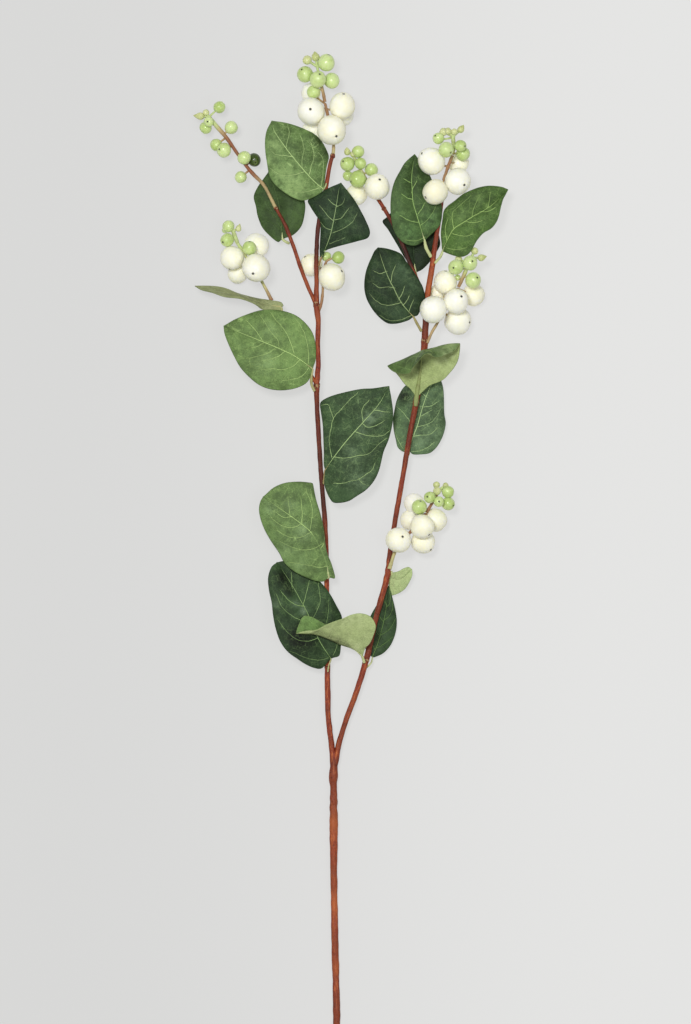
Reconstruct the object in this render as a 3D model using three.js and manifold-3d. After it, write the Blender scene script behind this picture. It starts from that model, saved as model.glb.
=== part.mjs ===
// Snowberry stem: a cut, forked woody stem with its leaves and berry bunches, laid on a flat surface.
// Millimetres. +Y runs along the stem from its cut end to its tips, +Z points up from the surface.
import * as THREE from "three";
import { mergeVertices } from "three/addons/utils/BufferGeometryUtils.js";
import Module from "manifold-3d";

// Driving dimensions
const mmPerPixel = 0.5; // gives white berries of 13.5 mm and leaves of about 50 mm
const middlePixelX = 345.5;
const cutEndPixelY = 1048;
const bladeThickness = 0.7;
const petioleRadius = 0.75;
const petioleRootRadius = 0.55;
const pedicelRadius = 0.55;
const surfaceSlab = [1000, 1000, 50]; // cut away below the surface, so that low berries rest on small flats

// Fineness of the facets
const bladeRows = 9;
const bladeColumns = 4;
const stemSides = 7;
const twigSides = 5;
const pedicelSides = 3;
const whiteBerryFacets = [10, 6];
const greenBerryFacets = [8, 5];
const budFacets = [5, 4];
const rachisSamples = 40;
const ringsPerStretch = 1.5; // rings of corners for each stretch between two points of a stem

// Finishes, from the photograph
const barkLook = { color: 0x8a4632, roughness: 0.75, metalness: 0 };
const darkLeafLook = { color: 0x345a38, roughness: 0.65, metalness: 0 };
const lightLeafLook = { color: 0x5f9152, roughness: 0.65, metalness: 0 };
const paleLeafLook = { color: 0x9fb877, roughness: 0.7, metalness: 0 };
const whiteBerryLook = { color: 0xf4f0d8, roughness: 0.35, metalness: 0 };
const greenBerryLook = { color: 0xa9cf78, roughness: 0.35, metalness: 0 };

// Every point below is [pixel x, pixel y, height above the surface in mm].
// A stem's point adds its radius in mm.

// The woody stem and its branches, from the cut end up
const mainStem = [
  [337, 1048, 1.6, 1.7],
  [336.7, 1018, 1.75, 1.8],
  [336, 985, 2.1, 1.7],
  [335, 945, 2.6, 1.85],
  [334.3, 905, 3.1, 1.75],
  [333.7, 865, 3.7, 1.8],
  [333.7, 828, 4.2, 2.1],
  [333.6, 795, 4.6, 1.8],
  [333.3, 779, 4.8, 2.3],
  [333.7, 764, 5, 2.15],
  [333.9, 752, 5.1, 1.6],
];
const leftBranch = [
  [333.4, 766, 5, 1.6],
  [331.6, 745, 5.3, 1.45],
  [328.7, 722, 5.7, 1.4],
  [327.6, 690, 6.1, 1.45],
  [327.3, 650, 6.7, 1.35],
  [326.9, 610, 7.4, 1.35],
  [326.3, 565, 8.2, 1.3],
  [325.2, 526, 9, 1.25],
  [321.5, 480, 10, 1.2],
  [318.6, 435, 11.1, 1.2],
  [316.8, 400, 11.9, 1.25],
  [316.8, 384, 12.3, 1.5],
  [318.2, 366, 12.5, 1.25],
  [317.7, 341, 12.7, 1.25],
  [318.3, 322, 12.9, 1.3],
  [316.4, 304, 13, 1.5],
  [316.6, 283, 13.1, 1.2],
  [316.4, 256, 13.3, 1.15],
  [318.6, 224, 13.5, 1.1],
  [325.6, 190, 13.8, 1.05],
  [330.4, 163, 14, 1],
  [332.6, 156, 14, 1],
];
const rightBranch = [
  [334.6, 765, 5, 1.6],
  [339.2, 743, 5.4, 1.4],
  [346.2, 720, 5.7, 1.35],
  [356.5, 692, 6.1, 1.4],
  [366, 661, 6.6, 1.5],
  [375.4, 620, 7.6, 1.35],
  [387.4, 575, 9, 1.5],
  [389.8, 555, 9.4, 1.35],
  [395.1, 521, 10, 1.3],
  [403.1, 475, 10.9, 1.3],
  [410.7, 430, 11.6, 1.35],
  [417, 397, 12.1, 1.5],
  [422.5, 362, 12.4, 1.5],
  [424.6, 343, 12.6, 1.7],
  [425.8, 318, 12.8, 1.45],
  [427.1, 298, 13, 1.5],
  [431.6, 270, 13.2, 1.4],
  [436.1, 238, 13.4, 1.2],
  [440.2, 212, 13.7, 1.1],
  [443.3, 182.8, 13.7, 0.95],
];
const leftSprayTwig = [
  [316.2, 305, 13, 1],
  [312.5, 297, 12.9, 1],
  [302.5, 273, 12.7, 0.95],
  [293.3, 246, 12.4, 0.95],
  [284.6, 224, 12.2, 0.95],
  [276, 208.4, 12, 1.05],
];
const leftBunchTwig = [
  [316.6, 384, 12.3, 1],
  [310.5, 374.5, 12, 0.95],
  [297, 350, 11.2, 0.9],
  [285, 325, 10.4, 0.9],
  [277, 309, 10, 0.95],
  [272.2, 301.5, 10, 1],
];
const middleTwig = [
  [427, 304, 13, 1.1],
  [420, 287, 12.5, 1],
  [411, 266, 12.1, 1.1],
  [403.6, 247, 12, 1],
  [393, 224, 12, 0.95],
  [379.5, 201.5, 12.3, 1],
];

// The leaves: a petiole from the wood to the blade, then margin, midrib and margin from base to tip
const leaves = {
  leaf_top_left: {
    look: lightLeafLook,
    petiole: [[326.4, 183.5, 15.6], [325.4, 186.5, 16.4]],
    left: [[320, 193.6, 17], [303, 201, 18.5], [285.5, 193.6, 19.5], [270, 178, 19.5],
      [265.6, 155, 19.5], [265.6, 135, 18.6]],
    midrib: [[323.4, 189, 17], [314, 181.6, 18], [305, 172, 19.4], [294, 159, 20.5], [283, 144, 20.5],
      [274, 130, 19.4], [271.8, 121.5, 18]],
    right: [[326.4, 178, 16.5], [329, 157.6, 16.1], [322.5, 142.8, 15.6], [304, 129, 16.2],
      [288, 123.4, 17]],
  },
  leaf_behind_left_twig: {
    look: darkLeafLook,
    petiole: [[289.3, 243.4, 11.5], [285.5, 241.5, 10.6]],
    left: [[278.5, 241.5, 9.8], [268, 234, 8.4], [259, 219, 7], [253.5, 197, 6.6], [259, 184, 6.4]],
    midrib: [[282.6, 239, 10.2], [281, 222, 9.2], [279, 205, 8.4], [274, 187, 7.4], [268.5, 172, 6.4]],
    right: [[293, 235, 9.8], [302, 224, 9.8], [305.4, 207, 9.6], [300, 190, 8.6], [284, 176, 7.4]],
  },
  leaf_over_left_branch: {
    look: darkLeafLook,
    petiole: [[318.6, 266, 15.2], [320, 261.5, 15.5]],
    left: [[319.6, 250, 15.9], [319.8, 236, 15.8], [319.6, 221, 15.7], [311, 208, 15.6],
      [308, 201.4, 15.8], [321.6, 192.2, 15.8], [333, 186.4, 16.6]],
    midrib: [[321.6, 257.4, 15.7], [328, 245, 16.6], [331, 233, 17], [333.6, 221, 17.4],
      [336.4, 206, 17.6], [341.2, 183.4, 17]],
    right: [[332.7, 248.4, 17], [343, 245.4, 18], [357, 241.7, 19], [369, 237.4, 20], [366, 221, 20],
      [355, 201, 18.8], [347.5, 191, 17.6]],
  },
  leaf_left_broad: {
    look: lightLeafLook,
    petiole: [[314.6, 391.4, 14.2], [311.6, 384.4, 14.4], [311.4, 376.6, 14.8]],
    left: [[310.5, 377.8, 15], [297, 388, 16.5], [279, 390.5, 18], [259, 385, 19], [240, 367, 19],
      [228.4, 344, 18], [223.8, 331, 17]],
    midrib: [[312, 369, 15], [299, 359, 16.2], [286, 352, 17.4], [270, 345, 18], [247, 335.6, 17.4],
      [224, 326.3, 16.4]],
    right: [[315.4, 361, 14.6], [315.6, 346, 14.5], [308, 326, 14.6], [292, 313.6, 14.4],
      [273, 309.7, 14], [248, 314, 14.6], [234.6, 319.6, 15.4]],
  },
  leaf_left_edge_on: {
    look: paleLeafLook,
    petiole: [[279, 315, 8], [281.6, 310.6, 8.2]],
    left: [[276, 309.6, 6.8], [267, 309.2, 8.6], [258, 306.4, 13.4], [248, 302, 17], [236, 298, 18.6],
      [219, 294.4, 18], [205, 290.6, 14.6]],
    midrib: [[280.6, 306.8, 7.2], [270, 305, 6.8], [261, 302.8, 8.6], [245, 298.4, 11],
      [226, 293.4, 11.8], [210, 289.8, 11.6], [195, 286.2, 11]],
    right: [[282.6, 303.6, 5.4], [272, 300.6, 3.4], [254, 297.4, 3], [236, 292.4, 3.4], [221, 287.4, 5],
      [206, 285.8, 8]],
  },
  leaf_right_of_left_branch: {
    look: darkLeafLook,
    petiole: [[323.6, 484, 11.6], [324.4, 477, 12.2]],
    left: [[324.2, 464, 13], [324, 448, 13.2], [322.6, 427, 13.6], [320.6, 405, 14.4], [331.5, 396, 16],
      [350, 391.4, 17.4], [373, 388.6, 18.6]],
    midrib: [[325.4, 470, 13], [335, 456, 15], [347, 440.5, 16.6], [363.4, 422, 18], [379, 404, 19],
      [388.9, 386.6, 19.5]],
    right: [[324.6, 483, 12.8], [328.4, 496, 12.8], [336, 503.4, 13.4], [352, 499.6, 14.6],
      [369, 487.4, 15.6], [380, 467, 16.6], [387.6, 442, 18], [392.8, 420, 19], [391.4, 399, 19.6]],
  },
  leaf_centre_light: {
    look: lightLeafLook,
    petiole: [[325.4, 573, 10.3], [324, 576, 12]],
    left: [[316, 581, 14.4], [300, 575, 15], [284.4, 563, 15.4], [272, 543, 15.4], [262, 523, 15],
      [258.8, 508, 14.2]],
    midrib: [[322, 579, 14], [320, 562, 15.2], [315, 545, 16.4], [301, 525, 17.2], [282, 510.4, 16.6],
      [263.2, 496.8, 14.6]],
    right: [[334.4, 577.7, 13.6], [331, 564, 13.8], [325, 538, 14.6], [320, 513, 15.2],
      [313, 484.4, 15.4], [298.5, 481.6, 15.6], [279, 485.2, 15.2]],
  },
  leaf_saddle: {
    look: darkLeafLook,
    petiole: [[327.8, 672, 8.7], [328.6, 666, 9.1]],
    left: [[321.4, 668.6, 10], [305, 664, 12.4], [288, 652, 14], [277, 633, 14.6], [273, 613, 14.2],
      [269, 590, 13.2], [269.6, 571.6, 12]],
    midrib: [[330.6, 659.6, 9.4], [320, 642, 10.2], [309, 616, 11.6], [296, 592, 11.6], [286, 575, 10],
      [277, 561.4, 10]],
    right: [[339.6, 655, 9], [342, 636, 9.2], [341.8, 617.6, 9.6], [334, 601, 10.2],
      [325.4, 587.6, 10.4], [309, 571, 10.4], [290, 560.6, 10.2]],
  },
  leaf_folded_pale: {
    look: paleLeafLook,
    petiole: [[364.4, 663, 8.8], [363, 658.6, 9.2]],
    left: [[357.4, 643, 12.6], [355, 631, 13.2], [347, 622.4, 13.6], [336, 620, 14.2], [325, 620.4, 15],
      [315, 618, 15.8], [304, 616, 16.6], [299, 624, 16.4]],
    midrib: [[361.4, 654.4, 10], [352, 648.4, 11.6], [341, 644.4, 13], [330, 639.2, 14],
      [318, 635.6, 14.8], [306, 634, 15.4], [296.2, 633, 15.8]],
    right: [[370, 643.4, 16], [376, 629, 22.4], [372, 617.4, 25], [360.5, 612.8, 26], [347, 615.6, 25.4],
      [334, 621.4, 23.8], [323, 626, 21.6], [313, 630.4, 19], [304, 631, 17.2]],
  },
  leaf_behind_right_branch_low: {
    look: darkLeafLook,
    petiole: [[368.2, 668, 5.4], [371.4, 662.6, 4.8]],
    left: [[366.4, 652, 3.6], [365, 638, 3.4], [369.4, 619, 4], [378, 603, 5]],
    midrib: [[372.6, 657, 4.6], [379, 640, 4.6], [384, 620, 5], [387, 602, 5.6], [388.7, 586, 6.2]],
    right: [[383.5, 653, 3.8], [392.5, 643, 3.2], [397, 624, 3.2], [396, 612, 4.2], [391.8, 597, 5.6]],
  },
  leaf_small_right: {
    look: paleLeafLook,
    petiole: [[391, 571.4, 8.2], [391.6, 574.4, 7.4]],
    left: [[394.6, 573.6, 7.2], [398, 571.4, 7.4], [404, 568.2, 7.8], [408.6, 567, 7.8]],
    midrib: [[392, 577.4, 6.6], [398, 579.6, 6.4], [404, 577, 6.7], [408.6, 572.4, 7.1], [411.8, 569.4, 7.4]],
    right: [[390, 584, 5], [391.4, 594.6, 4.1], [399.5, 593, 4.6], [404.6, 590.6, 5.4], [409.6, 582, 6.6],
      [412.4, 574.8, 7.2]],
  },
  leaf_curled_over_right_branch: {
    look: paleLeafLook,
    petiole: [[415.6, 406, 14.4], [416, 401, 14.8]],
    left: [[410, 389.4, 15.6], [399, 377.4, 17], [387.4, 366.6, 20.6], [394.6, 372.8, 25],
      [403.4, 374.6, 29], [411.8, 368.8, 33], [417.6, 362.4, 36]],
    midrib: [[416.6, 396, 15.2], [418.4, 384, 15.8], [420.8, 368, 16.4], [421.8, 356, 18],
      [422.2, 351, 22], [422.6, 351.4, 27], [423.2, 352.8, 33], [424, 355, 38]],
    right: [[430, 386, 15.6], [447, 376.6, 16.6], [457.4, 361.6, 18.4], [459.8, 343, 21.6],
      [454.6, 350.6, 26], [446, 355.4, 30], [437, 358, 33.4], [430.6, 355, 36]],
  },
  leaf_behind_right_branch: {
    look: darkLeafLook,
    petiole: [[407.2, 456.4, 9.1], [409, 452.4, 8.6]],
    left: [[401, 450, 8.4], [394.6, 436, 7.4], [394.6, 410, 6.6], [402, 391, 7], [416, 380, 7.4],
      [428, 374, 7]],
    midrib: [[410.4, 447, 8.6], [415.4, 430, 8.7], [421.5, 411, 8.6], [428, 392, 8.2], [437, 374, 7]],
    right: [[419, 454.8, 8.2], [432, 452, 7.4], [441.6, 439, 6.4], [445.6, 420, 5.6], [444.4, 400, 5.6],
      [441, 382, 6.4]],
  },
  leaf_upper_middle: {
    look: darkLeafLook,
    petiole: [[421.4, 331.4, 14], [416.6, 323, 15.2]],
    left: [[404, 322.4, 16], [388, 323.4, 16.5], [375.3, 313.4, 16.5], [366.5, 298.7, 16.5],
      [364.2, 283, 16.4], [368.6, 263.6, 16]],
    midrib: [[413.6, 317, 15.6], [404, 306.4, 16.5], [396, 293, 17.2], [389.3, 280, 17.5],
      [383.7, 266, 17], [378, 248, 15.4]],
    right: [[420, 310, 15.3], [424.6, 297, 15.3], [417.6, 278, 15.3], [408, 264, 15.3],
      [400, 253.4, 15.3], [388, 249, 15.2]],
  },
  leaf_upper_right: {
    look: darkLeafLook,
    petiole: [[428.6, 255.4, 14], [426.2, 248, 14.6]],
    left: [[415, 246, 16.8], [402.7, 242.6, 18.4], [393.5, 230, 19.4], [390.4, 208, 20],
      [393, 186, 19.4], [401, 169, 17.8], [409, 158.6, 15.6]],
    midrib: [[424.4, 241, 15.2], [419.6, 225, 16.6], [415, 210, 17.6], [412, 191, 17.4],
      [411.6, 172, 16.2], [414.4, 154.7, 14.4]],
    right: [[430, 235.4, 15.6], [437.4, 228, 15.8], [441.6, 216, 15.8], [441, 204.2, 15.4],
      [436, 190, 13.7], [429.3, 174.5, 13.2], [420.6, 165, 13.2]],
  },
  leaf_right_tip: {
    look: lightLeafLook,
    petiole: [[436.4, 262.4, 14.2], [440.4, 256.6, 14.6]],
    left: [[441.8, 242, 15.4], [441.6, 232, 15.8], [443.8, 219, 16.2], [445.4, 208.6, 16.8],
      [456, 199.8, 18], [471, 190.5, 18.6], [487.7, 186, 18.2], [500, 186.8, 17.4]],
    midrib: [[443, 250.4, 15], [448, 239, 17], [454, 229, 18.5], [464, 222, 19.5], [478, 214, 20],
      [493.6, 204, 19], [507.6, 190, 17]],
    right: [[450, 255.2, 17.6], [462.5, 257.4, 19], [472.8, 248.6, 19.4], [483.5, 233.4, 19.6],
      [496, 223, 19.4], [501, 207, 18.8], [505.6, 194.7, 17.6]],
  },
  leaf_behind_upper_right: {
    look: darkLeafLook,
    petiole: [[416.6, 278.6, 10.6], [416, 275, 10.2]],
    left: [[408.6, 264, 9.5], [398, 246, 9.3], [382.6, 221, 9], [388, 216, 8.6], [400, 203, 7.6]],
    midrib: [[415.4, 271.6, 9.8], [413.6, 255, 9.2], [413, 235, 8.2], [414, 212, 7.2], [415, 192, 6.4]],
    right: [[423, 269, 9], [432, 259.4, 8.4], [440.8, 246.4, 7.8], [437, 228, 7.2], [427, 205, 6.6]],
  },
};

// The berry bunches. A berry or bud is [pixel x, pixel y, height, radius].
// An oval bud ends in its tip's pixels. Each has a stalk from the nearest point of its rachis.
const bunches = {
  top_bunch: {
    brownRachis: [[333.1, 154.9, 14, 0.85], [333.6, 145.6, 14, 0.75], [331, 128, 13.6, 0.7],
      [327.9, 115.8, 13.6, 0.7], [325.2, 104, 13.8, 0.7]],
    whites: [[311, 111.6, 17.5, 6.75], [331.7, 130.9, 21, 7.1], [342.4, 105.8, 17, 6.35],
      [342.5, 114.5, 5.1, 5.5], [313.3, 130.3, 5.15, 5.4], [311, 92.8, 4.55, 4.8]],
    greenRachis: [[324.8, 102.1, 13.8, 0.65], [323.3, 93.6, 14, 0.65], [321.7, 87.4, 14.2, 0.6],
      [317.1, 66.8, 15, 0.5]],
    greens: [[326.3, 63, 16.4, 4.2], [305.1, 74.4, 14.4, 4], [317.9, 79.8, 19.4, 4.1],
      [331.7, 80.8, 14, 3.9], [313.7, 92, 13.2, 3.3]],
    buds: [[307.2, 60.3, 15, 2], [315.6, 57.5, 15, 1.8, 314.8, 51.5]],
  },
  left_spray: {
    greenRachis: [[275.4, 207.4, 12, 0.85], [270.8, 198, 12, 0.75], [263.7, 185, 12, 0.75],
      [253.7, 174.6, 12, 0.9], [246, 165.6, 12, 0.75], [237.9, 154.4, 12, 0.75],
      [226.5, 137.8, 12.4, 0.75], [215, 124.4, 12.4, 0.65], [209, 117, 12.4, 0.6]],
    greens: [[219.4, 107.2, 12.4, 2.95], [231.2, 127.6, 13, 3.25], [205.7, 127.6, 9.6, 2.95],
      [208.9, 121.9, 14.6, 2.45], [216.3, 144.8, 10.4, 3], [223.9, 150.3, 13.4, 3.55],
      [244.3, 157.9, 15, 3.3], [254.2, 159.8, 10, 3.3], [240.8, 177.1, 12, 2.95]],
    buds: [[200.4, 116.2, 12.2, 1.7, 193.2, 115.5], [206, 112.6, 12, 1.45]],
  },
  left_bunch: {
    brownRachis: [[271.7, 300.5, 10, 0.9], [265.9, 289, 10.2, 0.7], [258, 275, 10.6, 0.7],
      [248, 260, 11.4, 0.7], [243.4, 252, 12, 0.7]],
    whites: [[232.1, 257.9, 12.6, 5.75], [256.2, 268.3, 18.6, 6.85], [256.5, 245.5, 5.8, 6.2],
      [237.8, 273.6, 4.4, 4.8]],
    greenRachis: [[242.6, 250.5, 12.1, 0.65], [237.8, 243.5, 12.6, 0.6], [235.1, 236.8, 12.8, 0.55],
      [233, 231, 13, 0.5]],
    greens: [[249.5, 248.2, 16, 3.4], [227.1, 240.1, 13.6, 3.3], [228.4, 226.4, 13, 2.95],
      [225, 230.1, 10.6, 1.5]],
    buds: [[238.4, 228.8, 13.4, 1.3, 240, 223.6]],
  },
  centre_bunch: {
    brownRachis: [[321.2, 304, 13.6, 0.7], [322.4, 296, 13.8, 0.65], [323.4, 281, 13.4, 0.65],
      [324.2, 267.6, 13, 0.65]],
    whites: [[311.2, 264.9, 5.9, 5.6], [331.9, 277.3, 17.2, 6.6]],
    greenRachis: [[324.6, 266.4, 13, 0.6], [327, 261, 13, 0.55], [331, 258.7, 13.4, 0.55]],
    greens: [[338.3, 257.6, 15, 3.1], [326.3, 256.6, 11.6, 2.4]],
    buds: [],
  },
  middle_bunch: {
    brownRachis: [[379, 200.5, 12.4, 0.85], [375, 194, 12.8, 0.75], [371, 188, 13, 0.7]],
    whites: [[377.2, 187, 19.2, 6.25], [356.5, 194.5, 8.6, 5.25]],
    greenRachis: [[370.2, 186.4, 13, 0.65], [364, 176, 13, 0.65], [358, 165, 13.4, 0.6],
      [353, 156, 13.6, 0.55], [350, 153, 13.6, 0.5]],
    greens: [[358.1, 151.8, 14.4, 3], [360.6, 163.6, 15.6, 2.85], [347.3, 164.1, 13.6, 3.55],
      [371.3, 169.7, 11, 3.25], [357.6, 179.4, 16, 4.1], [347.9, 175.8, 10.6, 2.5]],
    buds: [[347.3, 152.2, 13.6, 1.4, 346.8, 147.2], [353, 154.4, 15, 1.3]],
  },
  right_tip_bunch: {
    brownRachis: [[443.8, 180.4, 14, 0.85], [446.6, 171, 14.6, 0.75], [449.6, 162.6, 15.4, 0.75],
      [452.4, 155.6, 16, 0.7]],
    whites: [[431.3, 161.4, 18, 6.75], [457.7, 181.6, 17.4, 6.4], [435.1, 192.5, 21.8, 6.15],
      [458.7, 162.8, 6, 5]],
    greenRachis: [[452.6, 154.7, 16.1, 0.65], [453.4, 147, 16.8, 0.65], [452.9, 136.7, 17.6, 0.6]],
    greens: [[438.3, 138.7, 17.6, 2.85], [445.9, 150.4, 23.4, 3.75], [460.3, 146.3, 19.6, 2.9],
      [462.8, 153.9, 14.2, 3.5]],
    buds: [[443.4, 132.2, 17.4, 1.75], [447.8, 131.6, 17.8, 1.6], [454.2, 132.2, 18, 1.5],
      [460.6, 130, 18, 1.5, 463.8, 125.2]],
  },
  right_bunch: {
    brownRachis: [[427.2, 343.2, 15, 0.65], [431.8, 332.5, 14.6, 0.65], [436.8, 324.1, 13.8, 0.65],
      [444, 311, 12.8, 0.65], [452, 298, 12.4, 0.7], [457.6, 288.6, 12.4, 0.7]],
    whites: [[445.2, 282.2, 14, 5.65], [432.9, 309.7, 21.5, 6.6], [456.1, 301.3, 18.5, 6.1],
      [457.8, 321, 8.4, 6.6], [473.9, 294.6, 5.1, 5.5], [438.2, 293.2, 5, 4.5]],
    greenRachis: [[458.4, 287, 12.4, 0.65], [461.6, 280.4, 13, 0.65], [465.5, 271.5, 14, 0.6],
      [471, 258, 15.6, 0.55]],
    greens: [[455.7, 267.3, 17.4, 3.75], [470.1, 263.1, 18, 3.65], [473.2, 280.3, 15.4, 3.9],
      [457.8, 277.6, 11, 1.5]],
    buds: [[481, 258, 16.6, 1.5, 486.9, 256.4], [474.6, 251.1, 15.6, 1.6], [458.5, 259.4, 13.8, 1.6]],
  },
  lower_right_bunch: {
    brownRachis: [[389.4, 569, 11.4, 0.6], [391.6, 562, 11.5, 0.65], [394.5, 553, 11.3, 0.65],
      [402, 540, 10.8, 0.65], [410.6, 531.8, 10.7, 0.7], [418, 522, 11.2, 0.75], [425.5, 514, 12, 0.7]],
    whites: [[398.2, 540.2, 17.6, 6.15], [422.1, 526.4, 19, 5.9], [423.5, 542.7, 10.6, 5.6],
      [437, 520.4, 7.6, 5.25], [409.4, 520.4, 4.3, 4.5], [413.5, 502.6, 4.5, 4.75]],
    greenRachis: [[426.5, 512.4, 12.2, 0.65], [432.4, 502.6, 13, 0.6], [437, 494, 13.6, 0.6],
      [439, 490, 13.8, 0.5]],
    greens: [[419.2, 507.1, 15.6, 3.75], [429.8, 497.4, 17.6, 2.9], [448.2, 503.7, 12.6, 3.25],
      [447.9, 491.9, 13.6, 2.95], [438.7, 501.7, 18, 2.6]],
    buds: [[436.4, 484.9, 14, 1.5], [437, 491, 16, 1.75], [445.6, 485.4, 12.6, 1.25]],
  },
};

const wasm = await Module();
wasm.setup();

// The place of a picture point in millimetres
function place([pixelX, pixelY, height]) {
  const x = (pixelX - middlePixelX) * mmPerPixel;
  const y = (cutEndPixelY - pixelY) * mmPerPixel;
  return new THREE.Vector3(x, y, height);
}

function smoothCurve(points) {
  return new THREE.CatmullRomCurve3(points, false, "centripetal");
}

// A geometry from its corners and triangles, turned to face outwards
function facetedGeometry(corners, triangles) {
  let sixfoldVolume = 0;
  for (const [a, b, c] of triangles) {
    sixfoldVolume += corners[a].dot(corners[b].clone().cross(corners[c]));
  }
  const outward = sixfoldVolume > 0 ? triangles : triangles.map(([a, b, c]) => [a, c, b]);
  const geometry = new THREE.BufferGeometry().setFromPoints(corners);
  geometry.setIndex(outward.flat());
  return geometry;
}

// A round stem through points with a radius each, closed by a flat facet at both ends
function taperedTube(points, sides) {
  const rings = Math.round(ringsPerStretch * (points.length - 1));
  const axis = smoothCurve(points.map(place));
  const thickness = smoothCurve(points.map((point, i) => new THREE.Vector3(i, point[3], 0)));
  const frames = axis.computeFrenetFrames(rings, false);
  const corners = [];
  const triangles = [];
  for (let ring = 0; ring <= rings; ring++) {
    const along = axis.getUtoTmapping(ring / rings);
    const centre = axis.getPoint(along);
    const radius = thickness.getPoint(along).y;
    for (let side = 0; side < sides; side++) {
      const angle = (2 * Math.PI * side) / sides;
      const corner = centre.clone();
      corner.addScaledVector(frames.normals[ring], radius * Math.cos(angle));
      corner.addScaledVector(frames.binormals[ring], radius * Math.sin(angle));
      corners.push(corner);
    }
  }
  for (let ring = 0; ring < rings; ring++) {
    for (let side = 0; side < sides; side++) {
      const here = ring * sides + side;
      const next = ring * sides + ((side + 1) % sides);
      triangles.push([here, next, next + sides], [here, next + sides, here + sides]);
    }
  }
  const lastRing = rings * sides;
  for (let side = 1; side < sides - 1; side++) {
    triangles.push([0, side + 1, side], [lastRing, lastRing + side, lastRing + side + 1]);
  }
  return facetedGeometry(corners, triangles);
}

// A leaf blade of even thickness, spanned between its two margins and its midrib
function blade({ left, midrib, right }) {
  const spine = midrib.map(place);
  const [leftEdge, rightEdge] = [left.map(place), right.map(place)];
  const acrossBase = rightEdge[0].clone().sub(leftEdge[0]).setLength(petioleRadius);
  const acrossTip = rightEdge.at(-1).clone().sub(leftEdge.at(-1)).setLength(bladeThickness / 2);
  const margin = (edge, side) => {
    const baseCorner = spine[0].clone().addScaledVector(acrossBase, side);
    const tipCorner = spine.at(-1).clone().addScaledVector(acrossTip, side);
    return smoothCurve([baseCorner, ...edge, tipCorner]);
  };
  const curves = [margin(leftEdge, -1), smoothCurve(spine), margin(rightEdge, 1)];
  const grid = [];
  for (let row = 0; row <= bladeRows; row++) {
    const [leftPoint, middle, rightPoint] = curves.map((curve) => curve.getPointAt(row / bladeRows));
    const line = [];
    for (let column = 0; column <= bladeColumns; column++) {
      const across = (2 * column) / bladeColumns - 1;
      line.push(middle.clone().lerp(across < 0 ? leftPoint : rightPoint, Math.abs(across)));
    }
    grid.push(line);
  }
  const width = bladeColumns + 1;
  const layer = width * (bladeRows + 1);
  const top = [];
  const bottom = [];
  for (let row = 0; row <= bladeRows; row++) {
    const inner = Math.min(Math.max(row, 1), bladeRows - 1);
    for (let column = 0; column <= bladeColumns; column++) {
      const here = row === inner ? column : bladeColumns / 2;
      const [before, centre, after] = [-1, 0, 1].map((step) => grid[inner + step][here]);
      const along = after.clone().sub(before);
      const leftHalf = centre.clone().sub(grid[inner][Math.max(here - 1, 0)]).cross(along);
      const rightHalf = grid[inner][Math.min(here + 1, bladeColumns)].clone().sub(centre).cross(along);
      const normal = leftHalf.normalize().add(rightHalf.normalize()).normalize();
      top.push(grid[row][column].clone().addScaledVector(normal, bladeThickness / 2));
      bottom.push(grid[row][column].clone().addScaledVector(normal, -bladeThickness / 2));
    }
  }
  const triangles = [];
  for (let row = 0; row < bladeRows; row++) {
    for (let column = 0; column < bladeColumns; column++) {
      const a = row * width + column;
      const [b, c, d] = [a + 1, a + width, a + width + 1];
      const split = column < bladeColumns / 2 ? [[a, b, d], [a, d, c]] : [[a, b, c], [b, d, c]];
      triangles.push(...split, ...split.map(([i, j, k]) => [layer + i, layer + k, layer + j]));
    }
  }
  const rim = [];
  for (let column = 0; column < bladeColumns; column++) rim.push(column);
  for (let row = 0; row < bladeRows; row++) rim.push(row * width + bladeColumns);
  for (let column = bladeColumns; column > 0; column--) rim.push(bladeRows * width + column);
  for (let row = bladeRows; row > 0; row--) rim.push(row * width);
  rim.forEach((here, i) => {
    const next = rim[(i + 1) % rim.length];
    triangles.push([here, layer + here, layer + next], [here, layer + next, next]);
  });
  return facetedGeometry([...top, ...bottom], triangles);
}

function solidOf(geometry) {
  const bare = geometry.clone();
  bare.deleteAttribute("normal");
  bare.deleteAttribute("uv");
  const merged = mergeVertices(bare, 1e-4);
  const mesh = new wasm.Mesh({
    numProp: 3,
    vertProperties: merged.attributes.position.array,
    triVerts: new Uint32Array(merged.index.array),
  });
  return new wasm.Manifold(mesh);
}

// All the geometries of a piece grown together in one, and flat where it rests on the surface
function fused(geometries) {
  const joined = geometries.map(solidOf).reduce((sum, solid) => sum.add(solid));
  const [, slabLength, slabDepth] = surfaceSlab;
  const underground = new THREE.BoxGeometry(...surfaceSlab).translate(0, slabLength / 4, -slabDepth / 2);
  const mesh = joined.subtract(solidOf(underground)).getMesh();
  const geometry = new THREE.BufferGeometry();
  geometry.setAttribute("position", new THREE.BufferAttribute(mesh.vertProperties, mesh.numProp));
  geometry.setIndex(new THREE.BufferAttribute(mesh.triVerts, 1));
  return geometry;
}

function piece(name, look, geometries) {
  const mesh = new THREE.Mesh(fused(geometries), new THREE.MeshStandardMaterial(look));
  mesh.name = name;
  return mesh;
}

function leaf(name, shape) {
  const [root, ...rest] = shape.petiole;
  const path = [
    [...root, petioleRootRadius],
    ...rest.map((point) => [...point, petioleRadius]),
    [...shape.midrib[0], petioleRadius],
  ];
  return piece(name, shape.look, [blade(shape), taperedTube(path, twigSides)]);
}

function berry([pixelX, pixelY, height, radius], facets) {
  const centre = place([pixelX, pixelY, height]);
  const sphere = new THREE.SphereGeometry(radius, ...facets).rotateX(Math.PI / 2);
  return sphere.translate(centre.x, centre.y, centre.z);
}

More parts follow.
